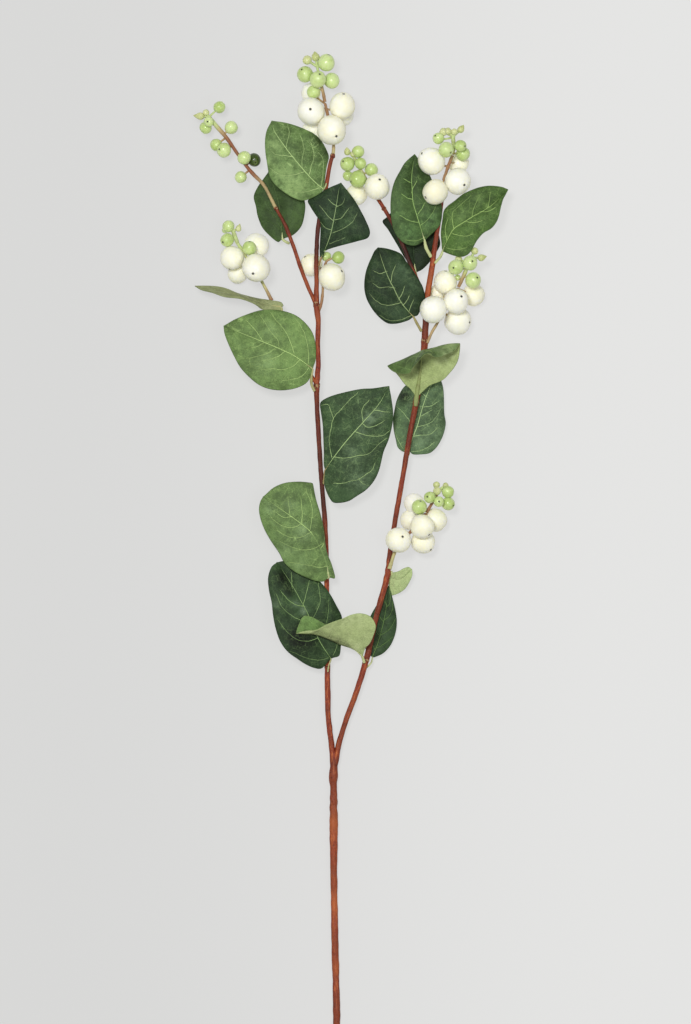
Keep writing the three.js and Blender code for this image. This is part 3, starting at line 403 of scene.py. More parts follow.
leaves = {
    "leaf_top_left": {
        "petiole": [(326.4, 183.5, 15.6), (325.4, 186.5, 16.4)],
        "left": [(320, 193.6, 17), (310.5, 199, 17.8), (303, 201, 18.5), (295, 199, 19.1),
            (285.5, 193.6, 19.5), (277, 187, 19.6), (270, 178, 19.5), (267, 163, 19.6), (265, 143, 19),
            (266.6, 131.7, 18.5)],
        "midrib": [(323.5, 189.5, 17), (314, 181.6, 18), (305, 172, 19.4), (294, 159, 20.5),
            (285.5, 148, 20.6), (274, 130.6, 19.5), (272, 121.5, 18)],
        "right": [(325.3, 178, 16.5), (327, 167, 16.3), (329, 157.6, 16.1), (328, 153, 15.9),
            (322.5, 142.8, 15.6), (314, 134.4, 15.8), (304, 129, 16.2), (295, 125.6, 16.6),
            (283, 122.4, 17.3)],
        "veins": [[(318.5, 188), (310, 191), (300, 192.5), (289, 191.5), (281, 190.5)],
            [(304, 172), (295, 175), (285, 176), (277, 173.5), (270, 168)],
            [(292, 157), (284, 156), (276, 155), (272, 152)],
            [(321, 187), (322, 178), (323, 165), (322, 158), (318, 153.5)],
            [(309, 175), (311, 166), (313.5, 158), (312, 148), (310, 143)],
            [(302, 167), (302, 158), (303.5, 150), (302, 142), (300, 136)],
            [(286, 149), (287, 142), (289, 134), (288, 129)]],
        "slot": "leaf_light", "seed": 1, "stalk": 0.5, "arch": 0.8, "ruffle": 0.5, "top": (112, 142, 82),
        "second": (152, 180, 114), "vein": (184, 212, 140), "under": (150, 176, 112),
        "patches": [(274, 145, 7, 0.75), (270, 162, 6, 0.6), (306, 131, 3, 0.7), (292, 186, 15, 0.9),
                    (280, 172, 8, 0.4), (318, 141, 8, -0.85), (303, 124, 7, -0.7), (326, 153, 6, -0.7),
                    (311, 132, 5, -0.35), (321, 180, 6, -0.4), (314, 160, 8, -0.25), (297, 150, 8, -0.3),
                    (287, 128, 7, -0.35), (279, 140, 5, -0.2)]},
    "leaf_behind_left_twig": {
        "petiole": [(289.3, 243.4, 11.5), (285.5, 241.5, 10.6)],
        "left": [(278.5, 242, 9.8), (268, 234, 8.4), (261.6, 226, 7.5), (257.6, 215.5, 6.9),
            (256, 207, 6.7), (253.5, 196, 6.6), (258, 186, 6.4), (263, 179, 6.4)],
        "midrib": [(282.6, 239, 10.2), (281, 222, 9.2), (279, 205, 8.4), (274, 187, 7.4),
            (268.5, 172, 6.4)],
        "right": [(293, 235, 9.8), (301.4, 226, 9.8), (305, 212, 9.7), (305, 202, 9.4), (300, 190, 8.6),
            (284, 176, 7.4)],
        "veins": [[(289, 226), (293, 214), (295, 206)], [(281, 230), (274, 224), (266, 220)],
            [(278, 218), (270, 212), (262, 208)], [(284, 236), (280, 226), (274, 214), (268, 204)]],
        "slot": "leaf_dark", "seed": 2, "net": 0.3, "arch": 0.8, "ruffle": 0.5, "top": (72, 96, 52),
        "second": (70, 96, 40), "vein": (96, 126, 66), "veinShow": 0.5,
        "patches": [(284, 205, 6, -0.37), (289, 217, 5, -0.37), (298, 222, 10, 0.6), (272, 186, 6, -0.25)]},
    "leaf_over_left_branch": {
        "petiole": [(318.6, 266, 15.2), (320, 261.5, 15.5)],
        "left": [(319.6, 250, 15.9), (320, 244, 15.9), (319.8, 221, 15.7), (316, 216, 15.6),
            (310.5, 207.5, 15.6), (307.7, 201, 15.8), (314, 196, 15.8), (321.6, 192, 15.8),
            (329, 188, 16.3)],
        "midrib": [(321.6, 257.4, 15.7), (327, 245, 16.6), (331, 233, 17), (333.6, 221, 17.4),
            (336.4, 206, 17.6), (339, 190, 17.2), (341, 183.4, 17)],
        "right": [(325.3, 251, 16.3), (332.7, 248, 17), (343, 245.4, 18), (357, 241.7, 19),
            (368, 238, 19.9), (370, 232.5, 20.1), (366, 221, 20), (361.4, 212, 19.6), (355, 201, 18.8),
            (347.5, 191, 17.6)],
        "veins": [[(333.5, 221), (329, 217), (325, 212), (320, 206)],
            [(331, 230), (326, 228), (321, 222)], [(337, 206), (333, 204), (329, 200)],
            [(334.5, 220.5), (342, 218), (346, 213), (349, 209)],
            [(333, 233), (341, 230), (348, 226), (353, 222), (357, 214)],
            [(337, 207), (343, 204), (345, 199)], [(330, 244), (338, 241), (345, 238)]],
        "slot": "leaf_dark", "seed": 3, "net": 0.35, "red": 0.8, "stalk": 0.7, "arch": 0.8,
        "ruffle": 0.4, "top": (44, 66, 40), "second": (84, 112, 70), "vein": (164, 190, 130),
        "veinShow": 0.75,
        "patches": [(346, 222, 9, 0.35), (324, 244, 7, -0.25)]},
    "leaf_left_broad": {
        "petiole": [(314.6, 391.4, 14.2), (311.6, 384.4, 14.4), (311.4, 376.6, 14.8)],
        "left": [(310.5, 377, 15), (306, 383.4, 15.5), (297, 388, 16.5), (288, 390, 17.3),
            (279, 390.5, 18), (268.6, 389, 18.6), (259, 385, 19), (249, 377, 19.1), (240, 367, 19),
            (234, 356, 18.6), (228.4, 344, 18), (224.4, 333, 17.2)],
        "midrib": [(312.4, 369, 15), (306, 364, 15.6), (292.7, 355, 16.9), (279, 348.6, 17.8),
            (263, 342, 17.9), (247, 335.6, 17.4), (234, 330.4, 16.9), (224, 326.3, 16.4)],
        "right": [(315.4, 361, 14.6), (316, 352, 14.5), (315, 341.4, 14.5), (312.3, 332.5, 14.6),
            (306, 323.6, 14.6), (297, 316.4, 14.5), (286.4, 312, 14.3), (275, 309.7, 14),
            (261.4, 310, 14.2), (248, 314, 14.6), (234.6, 319.6, 15.4)],
        "veins": [[(308, 363), (308, 352), (306, 340), (302, 329), (298, 322), (294, 318)],
            [(294, 353), (288.5, 338), (283, 329), (276, 321), (270, 312)],
            [(279, 348), (278, 341), (272, 334), (267, 327), (263, 320), (259, 315)],
            [(263, 342), (258, 334), (252, 327), (246, 321)],
            [(308, 368), (304, 374), (298, 378), (293, 379), (280, 381)],
            [(300, 360), (293, 366), (287, 369), (280, 370), (273, 369), (262, 370)],
            [(285, 351), (279, 356), (271, 359), (262, 361)],
            [(273, 350), (268, 353.5), (260, 356), (250, 358.5)], [(264, 343), (257, 347), (253, 348)]],
        "slot": "leaf_light", "seed": 4, "red": 0.35, "arch": 1.0, "ruffle": 0.6, "top": (120, 150, 86),
        "second": (152, 182, 120), "vein": (180, 210, 130), "under": (160, 185, 120),
        "patches": [(266, 362, 10, 0.5), (270, 330, 9, 0.4), (301, 372, 6, -0.15), (309, 350, 6, -0.19),
                    (243, 333, 6, -0.19), (229, 325, 6, -0.28), (284, 358, 6, -0.12)]},
    "leaf_left_edge_on": {
        "petiole": [(279, 315, 11.4), (281.6, 310.6, 11.8)],
        "left": [(281, 310.4, 12), (270, 311, 12.6), (261.4, 309.4, 14), (256, 305.6, 15.6),
            (248, 301.6, 17), (239, 298.4, 18.4), (224, 297, 18.4), (212, 293, 17), (201, 290, 13.6)],
        "midrib": [(280.6, 306.8, 12), (270, 305, 12.2), (261, 302.8, 11.6), (245, 298.4, 12.4),
            (226, 293.4, 11.8), (210, 289.8, 11.6), (195, 286.2, 11)],
        "right": [(283.4, 306, 12), (281.6, 302.4, 12), (272, 300.4, 11.8), (262, 298.9, 9),
            (254, 297.4, 5), (243.6, 294.6, 3.4), (234.6, 291.8, 3.4), (227.5, 289, 4.2),
            (219, 286.8, 5.2), (206, 285.8, 8)],
        "veins": [[(266.4, 304.3), (263.1, 304.6), (258, 304.2), (252.7, 303)],
            [(247.6, 299.2), (244.7, 299), (240, 298.1), (234.4, 297)],
            [(225.3, 293.3), (221.6, 293), (215.5, 292.3), (209.1, 291.2)],
            [(273.1, 305.5), (270.3, 303.9), (265, 301.5), (258.7, 299.4)],
            [(250.1, 299.7), (247.5, 298.2), (242.4, 296), (236.9, 293.7)],
            [(229, 294.1), (225.2, 292.1), (218.5, 289.3), (211.5, 287.3)]],
        "slot": "leaf_pale", "seed": 5, "arch": 0.4, "ruffle": 0.3, "top": (80, 100, 60),
        "second": (150, 160, 96), "vein": (120, 150, 84), "veinShow": 0.5, "under": (152, 160, 112),
        "turned": True, "red": 0.3, "pillow": 0.1,
        "patches": [(276, 306, 5, 0.3), (262, 304, 4, -0.3), (258, 300.5, 3, -0.3), (271, 301, 6, -0.25),
                    (249, 297, 4, -0.35), (241, 294.5, 3, -0.3)]},
    "leaf_right_of_left_branch": {
        "petiole": [(323.6, 484, 11.6), (324.4, 477, 12.2)],
        "left": [(324, 465, 13), (324, 452, 13.1), (323, 427, 13.6), (321, 414, 13.9),
            (320.3, 403, 14.5), (324, 399.5, 15.1), (331.5, 396, 16), (346, 392, 17.1), (361.7, 389, 18),
            (373, 388.4, 18.6), (384, 386.8, 19.2)],
        "midrib": [(325.4, 470, 13), (335, 456, 15), (347, 440.5, 16.6), (363.4, 422, 18),
            (379, 404, 19), (388.9, 386.6, 19.5)],
        "right": [(324.3, 484, 12.8), (327, 493, 12.7), (330, 499, 12.9), (333, 502.5, 13.2),
            (340, 503, 13.7), (349, 501, 14.4), (357, 496, 14.9), (366, 490, 15.4), (374, 481, 16),
            (379, 470.6, 16.4), (381.5, 461, 16.9), (384, 451, 17.5), (388.4, 440.5, 18.1),
            (391, 431, 18.5), (392.7, 421, 19), (393, 412, 19.3), (391.4, 399, 19.6)],
        "veins": [
            [(332, 457), (330.5, 447), (330, 437), (332, 428), (334, 418), (341, 410), (350, 400),
             (358, 393)],
            [(334, 418), (331, 410), (328, 404), (321, 406)],
            [(363, 422), (362, 412), (364, 406), (369, 401)],
            [(335, 457), (345, 458), (356, 456), (370, 453), (375, 448), (380, 443), (387, 438)],
            [(356, 432), (363, 434.5), (374, 436), (384, 435), (390, 430)],
            [(363, 424), (367, 427), (375, 426), (384, 421)], [(374, 410), (383, 411.5), (388, 412)],
            [(335, 483), (344, 483), (352, 480.5), (359, 479), (366, 474), (372, 470), (375, 463)],
            [(359, 479), (364, 484), (370, 486)]],
        "slot": "leaf_dark", "seed": 6, "net": 0.55, "arch": 1.1, "ruffle": 0.6, "top": (64, 88, 55),
        "second": (124, 146, 116), "vein": (172, 200, 134),
        "red": 0.6, "stalk": 0.8,
        "patches": [(369, 419, 7, 0.75), (362, 432, 5, 0.4), (380, 412, 5, 0.3), (352, 452, 9, 0.3),
                    (360, 480, 13, 0.35), (376, 425, 5, -0.22), (334, 478, 6, -0.25)]},
    "leaf_centre_light": {
        "petiole": [(325.4, 573, 10.3), (324, 576, 12)],
        "left": [(323.6, 581.4, 14), (316, 581, 14.4), (305, 577, 14.8), (293.4, 571, 15.2),
            (284.4, 563, 15.4), (279, 553, 15.5), (270.4, 540, 15.4), (264, 528.6, 15.2),
            (260, 517, 14.7), (259, 508, 14.2), (260.6, 501, 14.4)],
        "midrib": [(328.6, 577.6, 14.1), (326.8, 565, 14.9), (320.6, 549, 16.1), (310.8, 532, 17),
            (301, 523.6, 17.2), (282, 509.8, 16.6), (263.4, 496.8, 14.6)],
        "right": [(334.8, 578.4, 13.6), (331.8, 565.5, 13.8), (326.5, 551.5, 14.2), (324, 532, 14.8),
            (320, 513, 15.2), (316, 499, 15.3), (313.6, 487.2, 15.4), (312.7, 483.2, 15.4),
            (308.6, 482.4, 15.4), (298.5, 481.6, 15.6), (284.4, 483, 15.3), (273, 488, 15)],
        "veins": [[(327, 566), (319, 567), (309, 565), (300, 563.5), (290, 562)],
            [(321, 544), (317, 547), (308, 549.5), (299, 549), (288, 545), (280, 541)],
            [(311, 532), (305, 535.5), (295, 538), (285, 535), (277, 530)],
            [(300, 524.5), (295, 527), (286, 527), (278, 523), (271, 517)],
            [(291, 517), (283, 517), (276, 512)],
            [(310, 530), (311, 522), (312, 510), (310, 500), (306, 491)],
            [(302, 523), (302, 512), (301, 500)], [(290, 514), (289, 505), (288, 497)],
            [(321, 548), (324, 538), (325, 528)]],
        "slot": "leaf_light", "seed": 7, "arch": 0.9, "ruffle": 0.5, "ribFrom": 0.46,
        "top": (112, 140, 82), "second": (148, 174, 126), "vein": (176, 206, 128),
        "under": (160, 185, 120),
        "patches": [(290, 507, 8, 0.25), (303, 531, 8, 0.5), (285, 550, 9, 0.3), (300, 564, 8, 0.25),
                    (270, 508, 6, 0.35), (317, 520, 6, -0.15), (316, 486, 8, -0.09)]},
    "leaf_saddle": {
        "petiole": [(327.8, 672, 8.7), (328.6, 666, 9.1)],
        "left": [(321.4, 668.6, 10), (314, 668, 11), (305, 664, 12.4), (297, 658.7, 13.3),
            (288, 652, 14), (280.6, 642, 14.5), (275.5, 628, 14.6), (273, 615, 14.3),
            (271.7, 602.6, 13.8), (269, 590, 13.2), (268, 578, 12.6), (270, 570, 11.8), (272.2, 566, 11)],
        "midrib": [(331, 658.6, 9.4), (320, 642, 10.2), (311.6, 624, 11.3), (307.4, 613, 11.7),
            (302, 603, 11.8), (296, 592, 11.6), (289.5, 581, 10.5), (277, 562.6, 10)],
        "right": [(339, 656, 9), (341, 646, 9), (342, 632, 9.3), (341.8, 616.6, 9.6), (336.7, 606, 10),
            (329.7, 593.6, 10.3), (325.4, 587.6, 10.4), (309, 571, 10.4), (290, 560.6, 10.2),
            (283, 561, 10.1)],
        "veins": [[(328, 658), (320, 660), (308, 658.5), (297, 654), (290, 651)],
            [(318, 638), (308, 641), (298, 640), (287, 632), (278, 620)],
            [(306, 620), (300, 620), (289, 614), (281, 606), (278, 599), (276, 594)],
            [(303, 606), (296, 605), (288, 600), (281, 592)],
            [(303, 605), (305, 598), (307, 590), (309, 582)],
            [(313, 618), (317, 610), (320, 601), (319, 590), (318, 582)],
            [(322, 636), (326, 623), (328, 612), (328, 600)], [(333, 655), (336, 648), (337, 643)],
            [(292, 588), (292, 580), (291, 572)]],
        "slot": "leaf_dark", "seed": 8, "net": 0.5, "arch": 0.9, "ruffle": 0.6, "top": (56, 80, 48),
        "second": (126, 146, 120), "vein": (140, 170, 108),
        "red": 0.25, "stalk": 0.5,
        "patches": [(303, 611, 4, 0.8), (296, 604, 4, 0.4), (275, 604, 5, 0.25), (282, 578, 8, -1.0),
                    (289, 590, 6, -0.8), (298, 638, 13, -1.2), (313, 643, 9, -0.43),
                    (331, 640, 6, -0.31), (315, 581, 12, -0.22)]},
    "leaf_folded_pale": {
        "petiole": [(364.4, 663, 8.8), (363, 658.6, 9.2)],
        "left": [(357.4, 643, 12.6), (355, 633, 13.2), (347, 628.6, 13.6), (336, 628.6, 14),
            (326.4, 624.8, 14.6), (321, 621.8, 15.2), (316, 619, 15.8), (310.6, 616.6, 16.2),
            (304, 616, 16.6), (299, 624, 16.4)],
        "midrib": [(361.4, 655, 10), (356.4, 651, 10.9), (350.7, 648, 11.8), (341.1, 644.8, 13),
            (329.6, 639.2, 14), (321, 636, 14.6), (314, 634, 15), (305.7, 633.6, 15.4),
            (296.2, 633, 15.8)],
        "right": [(366, 647, 13.7), (369.8, 643.3, 16), (373.7, 634.6, 20), (376, 626, 23.2),
            (374.6, 621.2, 24.2), (369.8, 615.5, 25.4), (360.3, 612.9, 26), (350.7, 614.5, 25.7),
            (342.1, 618.4, 24.9), (331.6, 622.2, 23.4), (323.9, 625.6, 21.8), (316.2, 629.6, 19.8),
            (305.7, 630.6, 17.5)],
        "veins": [[(353.3, 649), (352.1, 645.2), (350.4, 638.4), (346.5, 628.7)],
            [(339.9, 643.8), (338.7, 637.4), (334.8, 630.3), (327.4, 624.8)],
            [(327.3, 637.9), (324.5, 633), (318.5, 627.1), (309.2, 620.4)],
            [(314.4, 633.7), (310.9, 629.3), (305.1, 625.6), (299.6, 626.8)],
            [(354.6, 649.6), (356.9, 646.7), (361, 641.1), (367.8, 631.6)],
            [(343.9, 645.2), (349, 638.7), (352.1, 628.5), (348.8, 619.8)],
            [(329.2, 638.3), (331.3, 632.2), (330, 627.8), (324, 626.6)],
            [(318.2, 634.7), (318.3, 631.6), (315, 630.8), (307.4, 631.1)],
            [(324, 637), (333, 638), (343, 640.4), (352, 644), (358, 650), (362, 657)]],
        "slot": "leaf_pale", "seed": 9, "arch": 0.5, "ruffle": 0.3, "top": (118, 150, 84),
        "second": (190, 204, 146), "vein": (140, 176, 100), "veinShow": 0.5, "under": (178, 194, 132),
        "turned": True, "pillow": 0.1,
        "patches": [(331, 637, 3.6, -0.5), (338, 640.5, 4.6, -0.8), (346, 644.5, 4.4, -0.62),
                    (351, 649.5, 3.4, -0.5), (352, 639.5, 3, 0.5), (357.5, 645, 3, 0.6),
                    (345, 618, 8, 0.6), (354, 616, 7, 0.5), (362, 622, 9, 0.3), (329, 628, 5, 0.4),
                    (322, 634, 5, -0.3), (347, 632, 6, -0.2), (328, 631, 5, -0.2), (357, 648, 3.5, 0.7),
                    (356, 641, 4, 0.3), (358, 611, 9, 0.5), (371, 640, 8, 0.3), (342, 622, 6, 0.3)]},
    "leaf_behind_right_branch_low": {
        "petiole": [(366.4, 668, 5.9), (371.4, 662.6, 4.8)],
        "left": [(366.4, 652, 3.6), (365, 638, 3.4), (369.4, 619, 4), (378, 603, 5)],
        "midrib": [(372.6, 657, 4.6), (379, 640, 4.6), (384, 620, 5), (387, 602, 5.6), (388.7, 586, 6.2)],
        "right": [(377, 656.5, 4.3), (383, 653.7, 3.9), (390.3, 646, 3.3), (395.3, 634, 3.1),
            (397, 623, 3.2), (396, 613, 4.1), (392.8, 599, 5.4)],
        "veins": [[(375.3, 649.6), (373.8, 646.6), (371.7, 641.4), (368.5, 629.9)],
            [(379.9, 636), (377.2, 632.7), (374.6, 627.4), (372.5, 616.8)],
            [(383.4, 621.7), (380.8, 618.1), (379.1, 612.7), (379.8, 602.3)],
            [(386.4, 605.2), (385, 602.1), (384.6, 597.2), (387.4, 588.1)],
            [(376.4, 648), (379.4, 646.7), (384.2, 643.8), (392.3, 636.5)],
            [(380.8, 634.9), (384.6, 632.9), (389.3, 628.8), (395.1, 619)],
            [(384.3, 619.8), (387.7, 617.3), (390.9, 612.2), (392.5, 601.3)],
            [(386.4, 607.3), (388.7, 604.6), (390.2, 599.6), (389.6, 588.9)]],
        "slot": "leaf_dark", "seed": 10, "net": 0.35, "stalk": 0.6, "arch": 0.8, "ruffle": 0.4,
        "top": (58, 80, 50), "second": (90, 124, 70), "vein": (112, 146, 80), "veinShow": 0.6,
        "patches": [(381, 606, 7, -0.31)]},
    "leaf_small_right": {
        "petiole": [(391, 571.4, 8.2), (391.6, 574.4, 7.4)],
        "left": [(391, 573.2, 7.2), (398, 571.4, 7.4), (404, 568.2, 7.8), (408.6, 567, 7.8)],
        "midrib": [(389.4, 577.4, 6.6), (398, 579.6, 6.4), (404, 577, 6.7), (408.6, 572.4, 7.1),
            (411.8, 569.4, 7.4)],
        "right": [(388.6, 585, 5), (389.6, 595.6, 4.1), (394.6, 595, 4.2), (400.4, 592.4, 4.6),
            (405.4, 588.6, 5.4), (410.4, 580.4, 6.6), (412.4, 574.8, 7.2)],
        "veins": [[(394.4, 578.4), (395.2, 577.6), (396.5, 576), (397.8, 574.1)],
            [(399.8, 579.1), (400.3, 576.9), (401.2, 574.1), (402.1, 571.8)],
            [(405.6, 575.5), (405.9, 573.2), (406.7, 570.6), (407.8, 568.7)],
            [(394.7, 578.8), (394.3, 581.2), (393.7, 585.3), (393.7, 590.1)],
            [(400, 579.5), (399.8, 582.6), (400.9, 585.5), (403.3, 587.3)],
            [(405.5, 576), (406.4, 578), (407.9, 578.9), (409.6, 578.3)]],
        "slot": "leaf_pale", "seed": 11, "arch": 0.4, "ruffle": 0.2, "top": (84, 124, 66),
        "second": (184, 200, 140), "vein": (140, 176, 100), "veinShow": 0.5, "under": (178, 196, 136),
        "turned": True, "pillow": 0.1},
    "leaf_curled_over_right_branch": {
        "petiole": [(415.6, 406, 14.4), (416, 401, 14.8)],
        "left": [(410, 389, 15.6), (405, 384.7, 16), (399, 377, 17.1), (396, 373.4, 17.7),
            (387.4, 366.6, 20.6), (390, 369.6, 22.6), (394.7, 372.6, 25), (403.3, 374.3, 29),
            (409, 373.2, 31.2), (411.9, 368.6, 33.1), (417.1, 362.8, 35.8)],
        "midrib": [(416.6, 396, 15.2), (418.4, 384, 15.8), (420.8, 368, 16.4), (421.8, 356, 18),
            (422.2, 351, 22), (422.6, 351.4, 27), (423.2, 352.8, 33), (424, 355, 38)],
        "right": [(423, 391.4, 15.4), (430, 385.6, 15.6), (436.4, 383, 15.9), (443, 380, 16.2),
            (449, 374, 16.9), (454.6, 367, 17.7), (458.4, 359, 18.7), (459.8, 343.4, 21.3),
            (455, 350.2, 25.8), (448, 353.7, 29), (438.9, 357.7, 32.7), (433.1, 357.1, 34.9),
            (429.7, 354.2, 36.3)],
        "veins": [[(417.8, 386.7), (414.9, 384), (409.9, 379.4), (403.5, 375.2)],
            [(419.7, 373.1), (414.8, 371.6), (409, 370), (399.4, 367.5)],
            [(421.1, 357.4), (413.5, 358.1), (408, 362.1), (406.3, 368.3)],
            [(422, 351.3), (418.2, 357), (416.4, 361.8), (416.7, 362.3)],
            [(418.2, 386.7), (422, 383.9), (429.6, 380.3), (440.9, 374.7)],
            [(421.1, 370.5), (428.7, 368.3), (438.8, 363.8), (449.8, 355.9)],
            [(422.7, 354.2), (431.5, 350.8), (440.2, 348.1), (446, 351)],
            [(423.1, 351.3), (428.9, 352.2), (432.3, 354.5), (430.5, 356)]],
        "slot": "leaf_pale", "seed": 12, "arch": -0.5, "ruffle": 0.2, "leftPace": 1.5, "rib": 0.5,
        "stalk": 1.6, "top": (106, 134, 76), "second": (190, 204, 150), "vein": (146, 178, 104),
        "veinShow": 0.5, "under": (165, 181, 118), "turned": True, "red": 0,
        "stalkTones": [(142, 154, 94), (150, 142, 92), (136, 96, 56)], "pillow": 0.1,
        "patches": [(420.4, 362, 3.4, -0.8), (418.6, 368, 3, -0.6), (437, 362, 4, 0.5),
                    (446, 359.5, 4.5, 0.7), (452, 356, 4, 0.5), (418.4, 373, 2.2, -0.4),
                    (414, 364, 6, -0.2), (430, 360, 7, -0.18), (448, 366, 8, 0.3), (404, 361, 10, -0.16),
                    (445, 349, 9, 0.3), (452, 345, 6, 0.2)]},
    "leaf_behind_right_branch": {
        "petiole": [(407.2, 456.4, 9.1), (409, 452.4, 8.6)],
        "left": [(404.4, 452, 8.5), (398, 447.7, 8.1), (395.8, 440, 7.6), (393.7, 429.5, 7.1),
            (393, 419.6, 6.8), (394.5, 409.6, 6.6), (396.6, 400.5, 6.7), (400, 393, 6.9),
            (405, 386, 7.2), (416, 380, 7.4), (428, 375, 7)],
        "midrib": [(408.8, 450.4, 8.6), (414, 434.5, 8.7), (417.3, 426, 8.7), (421.5, 411, 8.6),
            (425.6, 398, 8.4), (430.6, 386.4, 7.9), (437, 374, 7)],
        "right": [(412.2, 454, 8.3), (421.5, 454.4, 8.1), (430, 453, 7.5), (436.4, 447.7, 7),
            (441.4, 439.5, 6.4), (444.3, 432, 6), (446, 423, 5.7), (444.7, 413, 5.5),
            (444.3, 400.5, 5.6), (443.4, 388, 6.1), (441, 380, 6.5)],
        "veins": [[(414, 436), (421, 435), (430, 434), (437, 428)],
            [(417, 427), (424, 425), (431, 422), (437, 415), (440, 409)],
            [(421, 416), (426, 413), (431, 410)], [(424, 407), (430, 406), (437, 402)],
            [(427, 397), (424, 395), (421, 392)], [(412, 451), (420, 450.5), (428, 447), (434, 442)],
            [(404, 449), (400, 443), (396, 434), (394, 425)],
            [(412, 425), (407, 417), (402, 411), (397, 407)]],
        "slot": "leaf_dark", "seed": 13, "arch": 0.9, "ruffle": 0.4, "top": (93, 119, 83),
        "second": (126, 152, 116), "vein": (176, 206, 142),
        "patches": [(404, 396, 8, -1.0), (406, 424, 4, -0.37), (424, 441, 9, 0.3), (398, 430, 6, 0.25),
                    (436, 436, 7, 0.3), (420, 444, 6, 0.25)]},
    "leaf_upper_middle": {
        "petiole": [(421.4, 331.4, 14), (416.6, 323, 15.2)],
        "left": [(409.6, 319.7, 15.8), (402.6, 322.5, 16.1), (395, 324, 16.3), (388, 323.6, 16.5),
            (381.6, 319.7, 16.5), (375.3, 313.4, 16.5), (370.4, 306.4, 16.5), (366.5, 298.7, 16.5),
            (364.4, 290, 16.5), (364.4, 280, 16.4), (366, 271, 16.2), (368.6, 263.6, 16),
            (371.8, 256.6, 15.8), (374.6, 251, 15.5)],
        "midrib": [(413.2, 316.6, 15.6), (404, 306.4, 16.5), (398.4, 298, 17), (393.5, 288, 17.4),
            (389.3, 280, 17.5), (383.7, 266, 17), (378, 248, 15.4)],
        "right": [(417.4, 315.5, 15.5), (420.4, 310.4, 15.3), (425, 298.7, 15.3), (423, 288, 15.3),
            (420, 282, 15.3), (415.3, 274, 15.3), (410.4, 267, 15.3), (406, 261, 15.3),
            (402.6, 255.4, 15.3), (399, 252.7, 15.3), (390.7, 249.6, 15.2), (383, 248, 15.3)],
        "veins": [[(400, 303), (392, 305), (384, 305), (378, 302), (373, 298), (370, 294)],
            [(394, 288), (387, 287), (380, 288), (374, 284)], [(386, 272), (380, 274), (375, 272)],
            [(412, 315), (400, 320), (388, 320), (379, 315)], [(403, 305), (406, 302), (409, 296)],
            [(399, 299), (402, 294), (404, 287)], [(391, 282), (392, 275), (395, 266)],
            [(409, 311), (411, 305), (413, 300)]],
        "slot": "leaf_dark", "seed": 14, "net": 0.3, "arch": 0.9, "ruffle": 0.4, "top": (43, 64, 38),
        "second": (90, 116, 84), "vein": (172, 196, 134), "veinShow": 0.7,
        "red": 0.5,
        "patches": [(404, 272, 9, 0.5), (413, 287, 6, 0.4), (400, 313, 8, 0.2), (384, 255, 9, -0.25),
                    (380, 290, 8, -0.15), (413, 312, 5, -0.31)]},
    "leaf_upper_right": {
        "petiole": [(431, 257, 13.6), (426.2, 248, 14.6)],
        "left": [(416, 245.6, 16.6), (409.5, 245.6, 17.5), (402.7, 242.6, 18.4), (397.7, 237.6, 18.9),
            (393.5, 230, 19.4), (391.4, 221, 19.8), (390.5, 212, 20), (390.5, 202, 20),
            (391.8, 191, 19.6), (394.7, 181, 19.1), (399.4, 172, 18.2), (404.4, 163.5, 16.8),
            (409.5, 158.5, 15.5)],
        "midrib": [(424.4, 240.4, 15.2), (420.4, 227.5, 16.4), (417, 216.5, 17.3), (412.8, 202, 17.7),
            (412, 191, 17.4), (411.4, 177, 16.6), (414.5, 154.7, 14.4)],
        "right": [(428.8, 236.6, 15.5), (436, 230, 15.8), (440.3, 224.3, 15.8), (442, 215.7, 15.8),
            (441.3, 204.2, 15.4), (436, 190, 13.7), (431.7, 179.3, 13.3), (429.3, 174.5, 13.2),
            (422, 165, 13.2), (417.4, 158, 13.9)],
        "veins": [[(418, 222.6), (409, 221), (400, 216)], [(412, 200), (406, 198), (402, 195)],
            [(409, 182.5), (404, 180)], [(425, 237), (415, 241), (405, 240)],
            [(421, 225), (427, 220), (433, 212), (436, 205)], [(418, 214), (421, 210), (424, 204)],
            [(411, 193), (413, 188), (416, 182)]],
        "slot": "leaf_dark", "seed": 15, "net": 0.45, "arch": 0.9, "ruffle": 0.4, "top": (76, 102, 57),
        "second": (104, 142, 84), "vein": (156, 190, 112),
        "stalk": 1.3,
        "patches": [(408, 233, 9, 0.7), (430, 221, 9, 0.7), (397, 213, 6, 0.3), (414, 176, 12, -0.34),
                    (421, 196, 7, -0.31), (404, 208, 5, -0.19)]},
    "leaf_right_tip": {
        "petiole": [(434.6, 263.4, 13.9), (440.4, 256.6, 14.6)],
        "left": [(441.6, 243.5, 15.3), (440.8, 233, 15.8), (442, 221, 16.1), (443.6, 211, 16.6),
            (447.3, 206.4, 17.1), (454, 201.4, 17.8), (462.5, 194.7, 18.4), (471, 190.5, 18.6),
            (479.3, 187.5, 18.5), (487.7, 186, 18.2), (496, 186.3, 17.7), (503, 187.6, 17.2)],
        "midrib": [(443, 250.4, 15), (448, 239, 17), (454, 229, 18.5), (464, 222.4, 19.5),
            (473.4, 216.5, 20), (482.7, 211.5, 19.9), (493.6, 204, 19), (507.6, 190, 17)],
        "right": [(447.3, 253.6, 16.8), (455.8, 256.5, 18.4), (462.5, 257, 19), (468.4, 254.4, 19.3),
            (472.6, 248.5, 19.4), (476.8, 241, 19.5), (483.5, 233.4, 19.6), (491, 229, 19.5),
            (496, 223, 19.4), (498.7, 216.5, 19.2), (500.4, 209, 18.9), (503, 199.7, 18.2),
            (505.6, 194.7, 17.6)],
        "veins": [[(454, 229), (453, 222), (453, 213), (459, 207), (466, 201), (471, 196)],
            [(472, 217), (473, 211), (476, 203), (479, 197)], [(488, 207), (489, 200), (490, 193)],
